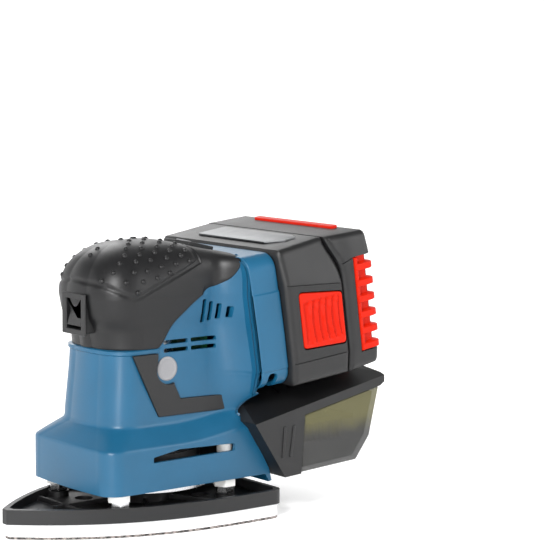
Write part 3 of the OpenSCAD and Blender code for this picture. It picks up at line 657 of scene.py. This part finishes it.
def plan_outline(front, half, corner, rear, bow=1.2):
    """Half outline seen from above, from the front's middle round to the rear: a front that bows by
    the square of the way, a superelliptic corner and a straight side."""
    front, half, corner, rear = (np.asarray(v, float)[..., None] for v in (front, half, corner, rear))
    nothing = 0 * (front + half + rear)
    x1 = front + bow * FRONT_SHARE**2 + nothing
    y1 = (half - corner) * FRONT_SHARE + nothing
    x2 = front + bow + (corner - bow) * (1 - np.cos(CORNER_TURN)**0.9) + nothing
    y2 = half - corner + corner * np.sin(CORNER_TURN)**0.9 + nothing
    x3 = front + corner + (rear - front - corner) * SIDE_SHARE + nothing
    y3 = half + 0 * x3
    return np.concatenate([x1, x2, x3], axis=-1), np.concatenate([y1, y2, y3], axis=-1)


def with_rear_wall(x, y, z, corner=0.6):
    """Adds columns that turn the side's rear end inwards over a round corner to the middle plane."""
    turn = REAR_TURN
    end_x, end_y, end_z = x[:, -1:], y[:, -1:], z[:, -1:]
    round_x = end_x - corner + corner * np.sin(turn) + 0 * end_y
    round_y = end_y - corner + corner * np.cos(turn) + 0 * end_x
    in_y = (end_y - corner) * np.array([[0.5, 0.0]])
    x = np.hstack([x[:, :-1], end_x - corner, round_x, end_x + 0 * in_y])
    y = np.hstack([y[:, :-1], end_y, round_y, in_y])
    z = np.hstack([z, end_z + 0 * round_x, end_z + 0 * in_y])
    return x, y, z


def left_grid(x, y, z):
    return np.stack([x, -y, z], axis=-1)


def skirt_profile():
    """Shoulder shares and heights from the skirt's lower edge to the neck's foot: an upright wall,
    a rounded edge, a sloping shoulder and a small fillet."""
    line = rounded([(0, 0), (0, 23.4), (10, 33.4), (10, 38)], [0, 2.4, 3.2, 0], 8, closed=False)
    line = spaced(line, 0.8, closed=False)
    return line[:, 0] / 10, line[:, 1] + SKIRT_Z


def housing_grid():
    """The left skin up to the collar: a skirt outline and a neck outline mixed by the shoulder's share."""
    share, z_low = skirt_profile()
    z = np.concatenate([z_low, np.linspace(z_low[-1], COLLAR, 60)[1:]])
    w = np.concatenate([share, np.ones(len(z) - len(share))])[:, None]
    rear = rear_edge(z)
    xs, ys = plan_outline(np.full_like(z, SKIRT_X), np.full_like(z, SKIRT_HW), np.full_like(z, 12.0), rear)
    xn, yn = plan_outline(neck_front(z), neck_half(z), np.full_like(z, 17.0), rear)
    yn = yn + flare(xn, z[:, None])
    x, y = xs + (xn - xs) * w, ys + (yn - ys) * w
    high = z[:, None] + 0 * x
    x, y, high = with_rear_wall(x, y, high)
    high = high + 4.5 * smooth(x / 50) * smooth(1 - np.abs(high - (NECK_Z - 6)) / 26)
    high = high - 4.2 * smooth((x - 56) / 3) * np.clip(1 - (high - SKIRT_Z) / 3, 0, 1)
    reach = np.maximum(np.hypot(x, y), 1)
    lip = 0.9 * smooth((high - (COLLAR - 2.4)) / 0.5) * smooth((-6 - x) / 3)
    return left_grid(x + lip * x / reach, y + lip * y / reach, high)


def upper_grid(level):
    """The grip's shape for a grid of levels: 0 at the collar, 1 at the equator and 2 on the ridge. Below
    the equator it is the plan outline at each height; above it each point moves in and up to the ridge
    along a superellipse whose power grows from 2.1 at the nose to 3.4 at the dock."""
    z = COLLAR + (EQUATOR - COLLAR) * np.minimum(level, 1.0)
    rows, columns = level.shape
    px, py = plan_outline(neck_front(z), neck_half(z), np.full(z.shape, 22.0), rear_edge(z))
    pick = np.arange(columns)
    px, py = px[:, pick, pick], py[:, pick, pick]
    py = py + flare(px, z)
    rise = np.clip(level - 1, 0, 1) * np.pi / 2
    side = np.concatenate([np.zeros(columns - len(SIDE_SHARE)), SIDE_SHARE])[None, :]
    ridge_x = RIDGE_X + (seam_x(GRIP_TOP - 8) - RIDGE_X) * side
    power = 2 / (2.1 + 2.6 * smooth(side))
    ridge_z = GRIP_TOP - 0.2 - 7.6 * smooth((ridge_x + 2) / 46)**1.3
    x = ridge_x + (px - ridge_x) * np.cos(rise)**power
    y = py * np.cos(rise)**power
    return x, y, z + (ridge_z - EQUATOR) * np.sin(rise)**power


def grip_edge(x):
    """Height of the grip's lower edge along the side."""
    return through(x, [-60, -9, 4, 20, 33, 38.5, 41], [COLLAR, COLLAR, COLLAR + 15, COLLAR + 28, COLLAR + 35,
                                                       COLLAR + 47, COLLAR + 62])


def levels_from_edge(shares):
    """Levels that start on the grip's edge in every column and end on the ridge, found by walking the
    start level until its height is the edge's."""
    fine = np.linspace(0, 2, 161)[:, None] + np.zeros((1, COLUMNS))
    x, _, z = upper_grid(fine)
    above = z - grip_edge(x)
    first = np.argmax(above >= 0, axis=0)
    none = above.max(axis=0) < 0
    low = np.maximum(first - 1, 0)
    pick = np.arange(COLUMNS)
    a, b = above[low, pick], above[first, pick]
    part = np.where(b > a, np.clip(-a / np.maximum(b - a, 1e-6), 0, 1), 0)
    start = fine[low, pick] + part * (fine[first, pick] - fine[low, pick])
    start = np.where(none, 2.0, start)
    return start[None, :] + (2 - start[None, :]) * shares[:, None]


def pushed(points, by):
    """A left-side grid moved outwards along its normals by an amount per row."""
    du, dv = np.gradient(points, axis=1), np.gradient(points, axis=0)
    normal = np.cross(dv, du)
    normal = normal / np.maximum(np.linalg.norm(normal, axis=-1), 1e-9)[..., None]
    outward = np.sign((normal * (points - np.array([0, 0, EQUATOR - 10]))).sum(axis=-1).mean())
    normal = normal * outward
    normal[:, 0, 1] = 0
    return points + by * normal


def prism(name, outline, place):
    """A cutter: an outline in two measures, carried between the two places that place(a, b) gives."""
    rings = place(*np.asarray(outline, float).T)
    count = len(outline)
    faces = [list(f) for f in grid_faces(2, count, wrap=True)]
    faces += [list(range(count)), list(range(count, 2 * count))]
    piece = add_mesh(name, np.vstack(rings), faces, smoothed=False)
    tidy_mesh(piece)
    return piece


def side_tool(name, outline, y_in, y_out=80.0):
    """A cutter: a side-view outline in x and z, carried from y_in to y_out on the tool's left side."""
    return prism(name, outline, lambda a, b: [np.column_stack([a, 0 * a - y, b]) for y in (y_in, y_out)])


def block(name, low, high):
    """A cutter: a plain box between two corners."""
    (a, b, c), (d, e, f) = low, high
    square = [(a, b), (d, b), (d, e), (a, e)]
    return prism(name, square, lambda x, y: [np.column_stack([x, y, 0 * x + z]) for z in (c, f)])


def box_outline(x0, z0, x1, z1, radius=0.8):
    return rounded([(x0, z0), (x1, z0), (x1, z1), (x0, z1)], radius, 4)


def vent_tools():
    """Cutters for the side vents, the outlet in the skirt and the fan of upright slots."""
    for x in (-4, 14):
        for rise in (-2.4, 2.0):
            yield side_tool("vent", box_outline(x, COLLAR + rise, x + 16, COLLAR + rise + 2.3), 20)
    for k in range(4):
        x, low = 20 + 4.4 * k, COLLAR + 12 + 0.8 * k
        yield side_tool("slot", box_outline(x, low, x + 2.4, low + 13 - 2.2 * k), 20)
    top = SKIRT_Z + 23
    yield side_tool("outlet", rounded([(-19, top - 7.6), (35, top - 7.2), (35, top - 3.2), (-2, top - 2),
                                       (-19, top - 4.6)], 0.9, 4), 30)


def housing_skin():
    """Both halves of the housing: lofted skin, a wall, and the slots cut through it."""
    lower = housing_grid()
    level = np.linspace(0, 2, 90)[1:, None] + np.zeros((1, COLUMNS))
    x, y, z = upper_grid(level)
    sunk = 1.6 * smooth((z - grip_edge(x) - 2) / 2)
    x, y, z = x - sunk * np.minimum(x, 0) / 40, y * (1 - sunk / 30), z - sunk * smooth(level - 1)
    x, y, z = with_rear_wall(x, y, z)
    points = np.concatenate([lower, left_grid(x, y, z)], axis=0)
    left = surface("housing_left_skin", points)
    tidy_mesh(left)
    walled(left, 2.0, (5, 0, 90))
    cut(left, *vent_tools())
    right = mirrored("housing_right_skin", left)
    stands_for(left, "housing_left")
    stands_for(right, "housing_right")
    return left, right


def panel_border(x, z):
    """Distance inside the thumb panel's border: a line that falls to a corner on each flank and rises
    again round the nose, and an end across the back."""
    edge = COLLAR + 27 + np.where(x > -25, 0.4 * (x + 25), 0.55 * (-25 - x))
    return np.minimum(z - edge, 0.8 * (19 - x))


def nubs(points, away, allowed, pitch=9.0, row=4.9, radius=1.45, height=1.2):
    """Small domes on the left half of the panel, on a staggered grid of the distance along the ridge and
    the distance away from it: rings whose radius is the sine and height the cosine of a quarter turn."""
    du, dv = np.gradient(points, axis=1), np.gradient(points, axis=0)
    normal = np.cross(dv, du)
    normal = normal / np.maximum(np.linalg.norm(normal, axis=-1), 1e-9)[..., None]
    normal = normal * np.sign((normal * (points - np.array([0, 0, EQUATOR]))).sum(axis=-1))[..., None]
    turn = np.linspace(0, 2 * np.pi, 12, endpoint=False)
    climb = np.linspace(np.pi / 2, 0.05, 5)
    domes, faces = [], []
    for k in range(8):
        for u in np.arange(-37 + (k % 2) * pitch / 2, 20, pitch):
            miss = (points[..., 0] - u)**2 + (away - row * (k + 0.5))**2 + 1e6 * ~allowed
            at = np.unravel_index(np.argmin(miss), miss.shape)
            if miss[at] > 1.6:
                continue
            up = normal[at]
            side = np.cross(up, [0.0, 1.0, 0.0])
            side = side / np.linalg.norm(side)
            other = np.cross(up, side)
            ring = np.cos(turn)[:, None] * side + np.sin(turn)[:, None] * other
            dome = (points[at] + 0.55 * up + radius * np.sin(climb)[:, None, None] * ring
                    + (height * np.cos(climb)[:, None, None]) * up)
            start = len(domes) * dome[..., 0].size
            faces += [list(f) for f in grid_faces(5, 12, wrap=True, start=start)]
            faces.append([start + 48 + i for i in range(12)])
            domes.append(dome.reshape(-1, 3))
    piece = add_mesh("nubs", np.vstack(domes), faces)
    tidy_mesh(piece, 60)
    return piece


def grip_skin():
    """The overmoulded grip: the upper shape from its edge to the ridge, standing proud with a rounded
    lower lip, with the thumb panel's groove let in and rows of nubs on the panel."""
    shares = np.concatenate([np.linspace(0, 0.05, 8, endpoint=False), np.linspace(0.05, 1, 110)])
    level = levels_from_edge(shares)
    x, y, z = upper_grid(level)
    points = left_grid(x, y, z)
    lip = 0.95 * np.sqrt(np.clip(1 - (1 - np.clip(shares / 0.03, 0, 1))**2, 0, 1)) - 0.25
    border = panel_border(points[..., 0], points[..., 2])
    groove = 0.75 * smooth(border / 0.5 + 0.5) * smooth((2.4 - border) / 0.5 + 0.5)
    domes = nubs(points, (2 - level) * 40, border > 3.8)
    points = pushed(points, (lip[:, None] - groove)[..., None])
    half = surface("grip_half", points)
    whole = joined("soft_grip_skin", half, mirrored("grip_other", half))
    tidy_mesh(whole, 45, merge=0.05)
    walled(whole, 1.3, (0, 0, COLLAR + 20))
    (low_x, _, low_z), (high_x, high_y, high_z) = box_of("control_panel")
    bed = block("panel_bed", (low_x + 0.45, 1 - high_y, low_z - 3), (high_x - 1.5, high_y - 1, high_z + 4))
    cut(whole, bed, sharp=50)
    whole = joined("soft_grip_skin", whole, domes, mirrored("nubs_right", domes))
    shade(whole, True, 50)
    return stands_for(whole, "soft_grip")


# ---- the battery dock ----

DOCK_HZ = 36.8                         # half the dock's height


def dock_skin():
    """Both halves of the dock: an outline round each station from the seam to the pack, with an eased
    edge at either end, given a wall and a small arch at its foot."""
    ease = np.linspace(0, np.pi / 2, 5)
    stations = np.concatenate([0.4 * (1 - np.cos(ease)), np.linspace(0.4, 15.0, 12)[1:-1],
                               15.0 + 0.8 * np.sin(ease)])
    shrink = np.concatenate([0.4 * (1 - np.sin(ease)), np.zeros(10), 0.8 * (1 - np.cos(ease))])[:, None]
    corner, turn = 9.0, np.linspace(0, np.pi / 2, 12)
    side = np.linspace(corner - DOCK_HZ, DOCK_HZ - corner, 120)
    zero = np.zeros(12)
    share = np.concatenate([np.linspace(0, 1, 12, endpoint=False), zero + 1, np.ones(120), zero + 1,
                            np.linspace(1, 0, 12)])[None, :]
    up = np.concatenate([zero - DOCK_HZ, -DOCK_HZ + corner * (1 - np.cos(turn)), side,
                         DOCK_HZ - corner * (1 - np.sin(turn)), zero + DOCK_HZ])[None, :]
    inward = np.concatenate([zero + corner, corner * (1 - np.sin(turn)), np.zeros(120),
                             corner * (1 - np.cos(turn)), zero + corner])[None, :]
    way = (stations / 16)[:, None]
    width = dock_side(way, np.clip(up, corner - DOCK_HZ, DOCK_HZ - corner)) - inward - shrink
    across = width * share
    rise = up - np.sign(up) * shrink * (np.abs(up) > DOCK_HZ - corner)
    left = surface("dock_left_skin", in_pack(SEAM + 0.25 + stations[:, None], -across, rise))
    tidy_mesh(left)
    walled(left, 2.2, PACK_AT + 0.85 * SEAM * PACK_AXIS)
    foot = seam_x(76.0)
    arch = rounded([(foot + 3.5, 60), (foot + 9, 60), (foot + 9, 81), (foot + 3.5, 81)], 2.6, 6)
    cut(left, side_tool("arch", arch, 30))
    right = mirrored("dock_right_skin", left)
    stands_for(left, "dock_left")
    stands_for(right, "dock_right")


def rail_skin():
    """The rail's own shape with its outer edge drawn in, so that it stays inside the leaning dock."""
    rail = eased_node("dock_rail", 0.5)
    points = np.empty(len(rail.data.vertices) * 3)
    rail.data.vertices.foreach_get("co", points)
    away = points.reshape(-1, 3) / MM - PACK_AT
    depth, across = away @ PACK_AXIS, away[:, 1]
    up = away @ PACK_UP
    up = np.clip(up, 3.0 - DOCK_HZ, DOCK_HZ - 3.0)
    half = dock_side(1.0, up) - 3.0
    across = np.where(np.abs(across) > 40, np.clip(across, -half, half), across)
    rail.data.vertices.foreach_set("co", (in_pack(depth, across, up) * MM).ravel())
    stands_for(rail, "dock_rail")


# ---- the battery pack ----

# The end's upper and lower lines: height at the front and at the parting.
PACK_LINES = ((19.0, 12.5), (-25.0, -26.5))


def line_height(line, depth):
    """Height of an end line, which runs straight from the front to the parting and on."""
    front, rear = line
    return front + (rear - front) * (depth + PACK_D) / (PARTING + PACK_D)


def pack_lean(depth, up):
    """How far the pack's end falls back: it leans in above the upper line and below the lower one."""
    high, low = line_height(PACK_LINES[0], depth), line_height(PACK_LINES[1], depth)
    high = np.where(depth > parting_depth(up), 22.3 + 2.6 * np.clip((depth - PARTING) / 8, 0, 1), high)
    lean = 0.23 * np.clip(up - high, 0, 99) + 0.2 * np.clip(low - up, 0, 99)
    return lean


def parting_depth(up):
    """The parting between the shells: upright, then sweeping forwards towards the top."""
    return PARTING - 7.5 * smooth((up - 14) / 26)**1.4


def pack_shell(name, node, front, rear, front_r, rear_r, tools=()):
    """One shell of the pack: its side outline carried across the tool, with rounded ends that follow
    the lean; front and rear give the outline's depth at each height."""
    ups = np.linspace(PACK_H, -PACK_H, 40)
    down = np.column_stack([front(ups), ups])
    back = np.column_stack([rear(ups[::-1]), ups[::-1]])
    outline = round_corners(np.vstack([down, back]), front_r, rear_r)
    outline = spaced(outline, 1.6)
    levels = [(0.0, 0.0), (0.0, 20.0), (0.0, 40.0)] + eased_levels(3.0, PACK_HALF, 54.0)[1:]

    def place(a, b, h):
        return in_pack(a, -h * (1 - pack_lean(a, b) / PACK_HALF), b)

    left = pad(name, outline, levels, place, step=1.7)
    right = mirrored(name + "_right", left)
    whole = joined(name, left, right)
    weld_middle(whole)
    if tools:
        cut(whole, *tools)
    return stands_for(whole, node)


def round_corners(outline, front_r, rear_r):
    """Rounds the four corners of a side outline by pulling points that lie past the arcs onto them."""
    p = outline.copy()
    for sign in (1, -1):
        for end, radius in ((0, front_r), (1, rear_r)):
            top = p[:, 1] * sign > 0
            limit = p[top, 0].max() if end else p[top, 0].min()
            centre = np.array([limit - radius if end else limit + radius, sign * (PACK_H - radius)])
            off = p - centre
            past = (off[:, 1] * sign > 0) & ((off[:, 0] > 0) if end else (off[:, 0] < 0))
            length = np.maximum(np.linalg.norm(off, axis=1), 1e-9)
            p[past] = centre + (off * (radius / length)[:, None])[past]
    return p


def weld_middle(piece):
    """Drops the faces that lie on the tool's middle plane and merges the two halves there."""
    work = bmesh.new()
    work.from_mesh(piece.data)
    middle = [f for f in work.faces if all(abs(v.co.y) < 1e-6 for v in f.verts)]
    bmesh.ops.delete(work, geom=middle, context="FACES")
    bmesh.ops.remove_doubles(work, verts=work.verts, dist=0.01 * MM)
    bmesh.ops.recalc_face_normals(work, faces=work.faces)
    work.to_mesh(piece.data)
    work.free()
    shade(piece, True, 32)


def pack_box_tool(name, low, high):
    """A box cutter in the pack's own frame."""
    (a, b, c), (d, e, f) = low, high
    return pack_outline_tool(name, [(a, c), (d, c), (d, f), (a, f)], b, e)


def pack_outline_tool(name, outline, y_in, y_out):
    """A cutter in the pack's frame: an outline in depth and height, carried across from y_in to y_out."""
    return prism(name, outline, lambda a, b: [in_pack(a, 0 * a + y, b) for y in (y_in, y_out)])


BUTTON = np.array([(-23.0, -18.4), (7.5, -21.2), (7.5, 8.4), (-23.0, 13.6)])


def button_outline(grow=0.0):
    """The release button's outline in depth and height."""
    return rounded(inset(BUTTON, -grow), 2.4 + grow, 8)


def release_button_skin():
    """The button: a rounded slab whose face is dished, with five soft upright ribs."""
    outline = spaced(button_outline(-0.35), 0.8)

    def relief(a, b):
        ribs = sum(np.exp(-((a + 16.2 - 4.6 * k - 0.01 * (b + 4)**2) / 0.8)**2) for k in range(5))
        fade = smooth((13 - np.abs(b + 4.5)) / 3)
        return (ribs * 1.9 - 1.4 * smooth((13.5 - np.abs(a + 7.5)) / 2)) * fade

    piece = pad("release_button_skin", outline, eased_levels(0.9, PACK_HALF + 0.45, PACK_HALF - 5),
                lambda a, b, h: in_pack(a, -h, b), step=0.7, relief=relief)
    return stands_for(piece, "release_button")


def end_bumpers_skin():
    """The red end guards: a band carried round the pack's rear corner, with a flat border ahead and six
    ribs that stand out of it in the shape of a raised cosine."""
    turn = [(PARTING + 8.2, 0), (PACK_D + 0.2, 0), (PACK_D + 0.2, 10.5)]
    path = spaced(rounded(turn, [0, 5.0, 0], 12, closed=False), 0.45, closed=False)
    along = np.concatenate([[0], np.cumsum(np.linalg.norm(np.diff(path, axis=0), axis=1))])
    step = np.gradient(path, axis=0)
    normal = np.column_stack([step[:, 1], -step[:, 0]]) / np.linalg.norm(step, axis=1)[:, None]
    up = np.linspace(-28.9, 24.9, 170)[:, None]
    ribs = smooth((np.cos(2 * np.pi * (up + 26.3) / 9.0) + 0.25) / 0.7)
    border = smooth((3.4 - along) / 0.8)[None, :]
    rear = smooth((along - 9) / 4)[None, :]
    height = np.maximum(border * 2.75, ribs * (3.2 + 0.4 * rear)) - 2.4
    from_end = np.minimum(along, along[-1] - along)[None, :]
    edge = smooth(np.minimum(from_end, np.minimum(up + 28.9, 24.9 - up)) / 0.8)
    height = height * edge - 2.2 * (1 - edge)
    depth = path[None, :, 0] + normal[None, :, 0] * height
    across = -PACK_HALF + path[None, :, 1] + normal[None, :, 1] * height
    half = surface("guard", in_pack(depth, across, up + 0 * depth))
    tidy_mesh(half)
    walled(half, 1.4, PACK_AT)
    whole = joined("pack_bumper_ends_skin", half, mirrored("guard_right", half))
    return stands_for(whole, "pack_bumper_ends")


def top_strips_skin():
    """The red strips along the pack's top and bottom rear edges: a low bar with a groove along it."""
    outline = spaced(rounded([(PARTING + 13.4, -35.6), (PACK_D - 3.4, -35.6), (PACK_D - 3.4, 35.6),
                              (PARTING + 13.4, 35.6)], 1.6, 5), 0.8)
    bars = [pad("strip", outline, eased_levels(0.5, PACK_H + 0.5, PACK_H - 2),
                lambda a, b, h, s=sign: in_pack(a, b, s * h), step=0.9,
                relief=lambda a, b: -0.5 * np.exp(-((a - 25.2) / 0.5)**2)) for sign in (1, -1)]
    return stands_for(joined("pack_bumper_sides_skin", *bars), "pack_bumper_sides")


def labels_skin():
    """Blank foil plates on the pack's broad faces, pointed at one end."""
    outline = rounded([(-22, -30.5), (-13, -39), (-6, -39), (-2, -31), (-2, 30.5), (-22, 30.5)], 1.4, 5)
    plates = [pad("label", outline, eased_levels(0.2, PACK_H + 0.25, PACK_H - 0.6), lambda a, b, h, s=sign:
                  in_pack(a, b, s * h)) for sign in (1, -1)]
    return stands_for(joined("pack_labels_skin", *plates), "pack_labels")


def line_tool(side, start, end, half=0.28, deep=0.9):
    """A cutter for a fine groove on one end of the pack, from start to end in depth and height."""
    (a, b), (c, d) = start, end
    quad = [(a, b - half), (c, d - half), (c, d + half), (a, b + half)]
    return pack_outline_tool("line", quad, side * (PACK_HALF - deep), side * (PACK_HALF + 3))


def pack_skins():
    """The pack's two shells with the rail's slot, the button's pocket, the grooved end lines and the guards'
    recesses.
    """
    neck = pack_box_tool("neck", (-PACK_D - 3, RAIL_Y, -20.3), (RAIL_STEP - PACK_D, 80, 20.3))
    lips, floor = RAIL_STEP - PACK_D, RAIL_DEEP - PACK_D
    head = pack_box_tool("head", (lips - 1.3, RAIL_Y, -25.3), (floor, 80.1, 25.3))
    tongue = pack_box_tool("tongue", (floor - 1, 14, -18), (floor + 5.5, 80.2, 18))
    lines = [line_tool(s, (-PACK_D - 1, front), (PARTING, rear))
             for s in (-1, 1) for front, rear in PACK_LINES]
    pocket = pack_outline_tool("pocket", spaced(button_outline(0.35), 1.0), -PACK_HALF - 4, -PACK_HALF + 5)
    pack_shell("pack_case_top_skin", "pack_case_top", lambda up: np.full_like(up, -PACK_D),
               lambda up: parting_depth(up) - 0.12, 4.5, 0.4, (neck, head, tongue, pocket, *lines))
    recesses = []
    for s in (-1, 1):
        outer, rear_in, inner = s * (PACK_HALF + 5), s * (PACK_HALF - 10.8), s * (PACK_HALF - 2.6)
        recesses.append(pack_box_tool("guard_side", (PARTING + 8, min(outer, inner), -29.1),
                                      (PACK_D - 3, max(outer, inner), 25.1)))
        recesses.append(pack_box_tool("guard_rear", (PACK_D - 3.1, min(outer, rear_in), -29.15),
                                      (PACK_D + 5, max(outer, rear_in), 25.15)))
        recesses.append(line_tool(s, (PARTING - 1, 22.3), (PARTING + 8.2, 24.9)))
    pack_shell("pack_case_base_skin", "pack_case_base", lambda up: parting_depth(up) + 0.12,
               lambda up: np.full_like(up, PACK_D), 0.4, 4.5, recesses)
    release_button_skin()
    end_bumpers_skin()
    top_strips_skin()
    labels_skin()


# ---- small pieces ----

def badge():
    """A blank round badge with a raised rim on each side of the neck."""
    turn = np.linspace(0, 2 * np.pi, 72, endpoint=False)
    outline = np.column_stack([-2.2 + 6.6 * np.cos(turn), 86 + 6.6 * np.sin(turn)])
    side = float(neck_half(np.array(86.0)))

    def rim(a, b):
        r = np.hypot(a + 2.2, b - 86)
        return 0.35 * np.exp(-((r - 5.6) / 0.5)**2)

    left = pad("badge_left", outline, eased_levels(0.3, side + 0.35, side - 0.8), lambda a, b, h:
               np.stack([a, -h, b], axis=-1), step=0.5, relief=rim)
    right = mirrored("badge_right", left)
    for piece in (left, right):
        trim(piece, "housing", "button_grey")


def housing_screws_skin():
    """The housing's screws, with the two front heads let in deeper, under the neck's rounded corner."""
    screws = eased_node("housing_screws", 0.2)
    points = np.empty(len(screws.data.vertices) * 3)
    screws.data.vertices.foreach_get("co", points)
    points = points.reshape(-1, 3)
    points[(points[:, 0] < 0) & (points[:, 1] > 15 * MM), 1] -= 3 * MM
    screws.data.vertices.foreach_set("co", points.ravel())
    stands_for(screws, "housing_screws")


def box_ribs(case):
    """Two upright finger ribs on each side of the dust box, slim pads laid along the leaning side between
    the places where two level rays from outside meet it."""
    low, high, ribs = 33.0, 50.5, []
    for foot, head in ((60.2, 61.6), (65.5, 68.1)):
        ends = [case.ray_cast(Vector((x, -80, z)) * MM, Vector((0, 1, 0)))[1].y / MM
                for x, z in ((foot, low + 1), (head, high - 1))]
        corners = [(foot - 0.8, low), (foot + 0.8, low), (head + 0.8, high), (head - 0.8, high)]
        outline = spaced(rounded(corners, 0.7, 5), 0.5)
        ribs.append(pad("rib", outline, eased_levels(0.5, 0.75, -0.6), lambda a, b, h, e=ends: np.stack(
            np.broadcast_arrays(a, e[0] + (e[1] - e[0]) * (b - low) / (high - low) - h, b), axis=-1)))
    left = joined("box_ribs_left", *ribs)
    trim(left, "dust_box", "black_plastic")
    trim(mirrored("box_ribs_right", left), "dust_box", "black_plastic")


# ---- other skins ----

def minor_parts():
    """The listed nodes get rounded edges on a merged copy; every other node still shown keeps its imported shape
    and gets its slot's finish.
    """
    widths = {"switch_frame": 1.0, "switch_rocker": 0.6, "control_panel": 0.5, "led_window": 0.3,
              "speed_button": 0.5, "plate_screws": 0.2, "fan_housing": 0.5, "base_ring": 0.3,
              "dock_contacts": 0.15, "pack_terminals": 0.3, "pack_screws": 0.2, "filter_frame": 0.4,
              "filter_paper": 0.4, "release_latch": 0.4, "release_spring": 0.05, "fan": 0.2,
              "post_nuts": 0.3, "flex_posts": 0.3, "bumper_left": 0.8, "bumper_right": 0.8,
              "dust_box_frame": 0.8, "dust_box_tub": 0.8, "sanding_plate": 0.6, "foam_pad": 0.4,
              "sanding_sheet": 0.15}
    made = {node: stands_for(eased_node(node, width), node) for node, width in widths.items()}
    box_ribs(made["dust_box_frame"])
    spring = made["release_spring"]
    back = tuple(box_of("release_spring")[1] * MM)
    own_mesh(spring)
    shown = {n for n, o in frame["nodes"].items() if not o.hide_render}
    for node in shown - {"housing_left", "housing_right", "soft_grip"}:
        packed = frame["nodes"][node]
        packed.data.materials.clear()
        packed.data.materials.append(FINISH[SLOT_OF[node]])


# ---- stage, light and camera ----

# Name, place in metres, width in metres and power in watts of each disc lamp.
LAMPS = (("key", (-1.1, -0.75, 0.95), 0.5, 24), ("strip", (-1.15, -0.92, 0.2), 0.22, 4),
         ("fill", (1.2, -1.1, 0.8), 1.0, 8), ("back", (0.5, 1.3, 1.1), 1.0, 10))
EYE, LOOK, ROLL = (-0.6401, -0.9203, 0.2654), (0.6183, 0.7776, -0.1142), 0.26
LENS, SENSOR = 136.98, 36


def stage_and_light():
    """A pale floor just under the sheet that sweeps up into a wall, and large soft lamps."""
    line = spaced(rounded([(0, 0), (2600, 0), (2600, 1300)], [0, 900, 0], 24, closed=False), 90, closed=False)
    turn = np.linspace(0, 2 * np.pi, 96, endpoint=False)
    cove = np.stack([np.outer(line[:, 0], np.cos(turn)), np.outer(line[:, 0], np.sin(turn)),
                     np.repeat(line[:, 1:], len(turn), axis=1) - 0.2], axis=-1)
    floor = surface("floor", cove, wrap=True)
    pale = bpy.data.materials.new("pale floor")
    pale.use_nodes = True
    shader = pale.node_tree.nodes["Principled BSDF"]
    shader.inputs["Base Color"].default_value = (0.86, 0.86, 0.86, 1)
    shader.inputs["Roughness"].default_value = 0.8
    shader.inputs["Emission Color"].default_value = (1, 1, 1, 1)
    shader.inputs["Emission Strength"].default_value = 0.45
    floor.data.materials.append(pale)
    world = bpy.data.worlds.new("studio")
    world.use_nodes = True
    world.node_tree.nodes["Background"].inputs["Color"].default_value = (1, 1, 1, 1)
    world.node_tree.nodes["Background"].inputs["Strength"].default_value = 0.34
    bpy.context.scene.world = world
    aim = Vector((0.02, 0, 0.08))
    for name, place, size, power in LAMPS:
        lamp = bpy.data.lights.new(name, "AREA")
        lamp.shape, lamp.size, lamp.energy = "DISK", size, power
        holder = bpy.data.objects.new(name, lamp)
        holder.location = place
        holder.rotation_euler = (aim - Vector(place)).to_track_quat("-Z", "Y").to_euler()
        bpy.context.scene.collection.objects.link(holder)
    bpy.context.scene.view_settings.view_transform = "Standard"


def camera():
    """The viewpoint: ahead and to the left of the tool, a little above it, with a slight roll."""
    lens = bpy.data.cameras.new("camera")
    lens.lens, lens.sensor_width = LENS, SENSOR
    holder = bpy.data.objects.new("camera", lens)
    bpy.context.scene.collection.objects.link(holder)
    turn = Vector(LOOK).to_track_quat("-Z", "Y").to_matrix() @ Matrix.Rotation(math.radians(ROLL), 3, "Z")
    holder.matrix_world = Matrix.Translation(EYE) @ turn.to_4x4()
    bpy.context.scene.camera = holder


camera()
stage_and_light()
housing_skin()
grip_skin()
dock_skin()
rail_skin()
pack_skins()
badge()
housing_screws_skin()
minor_parts()
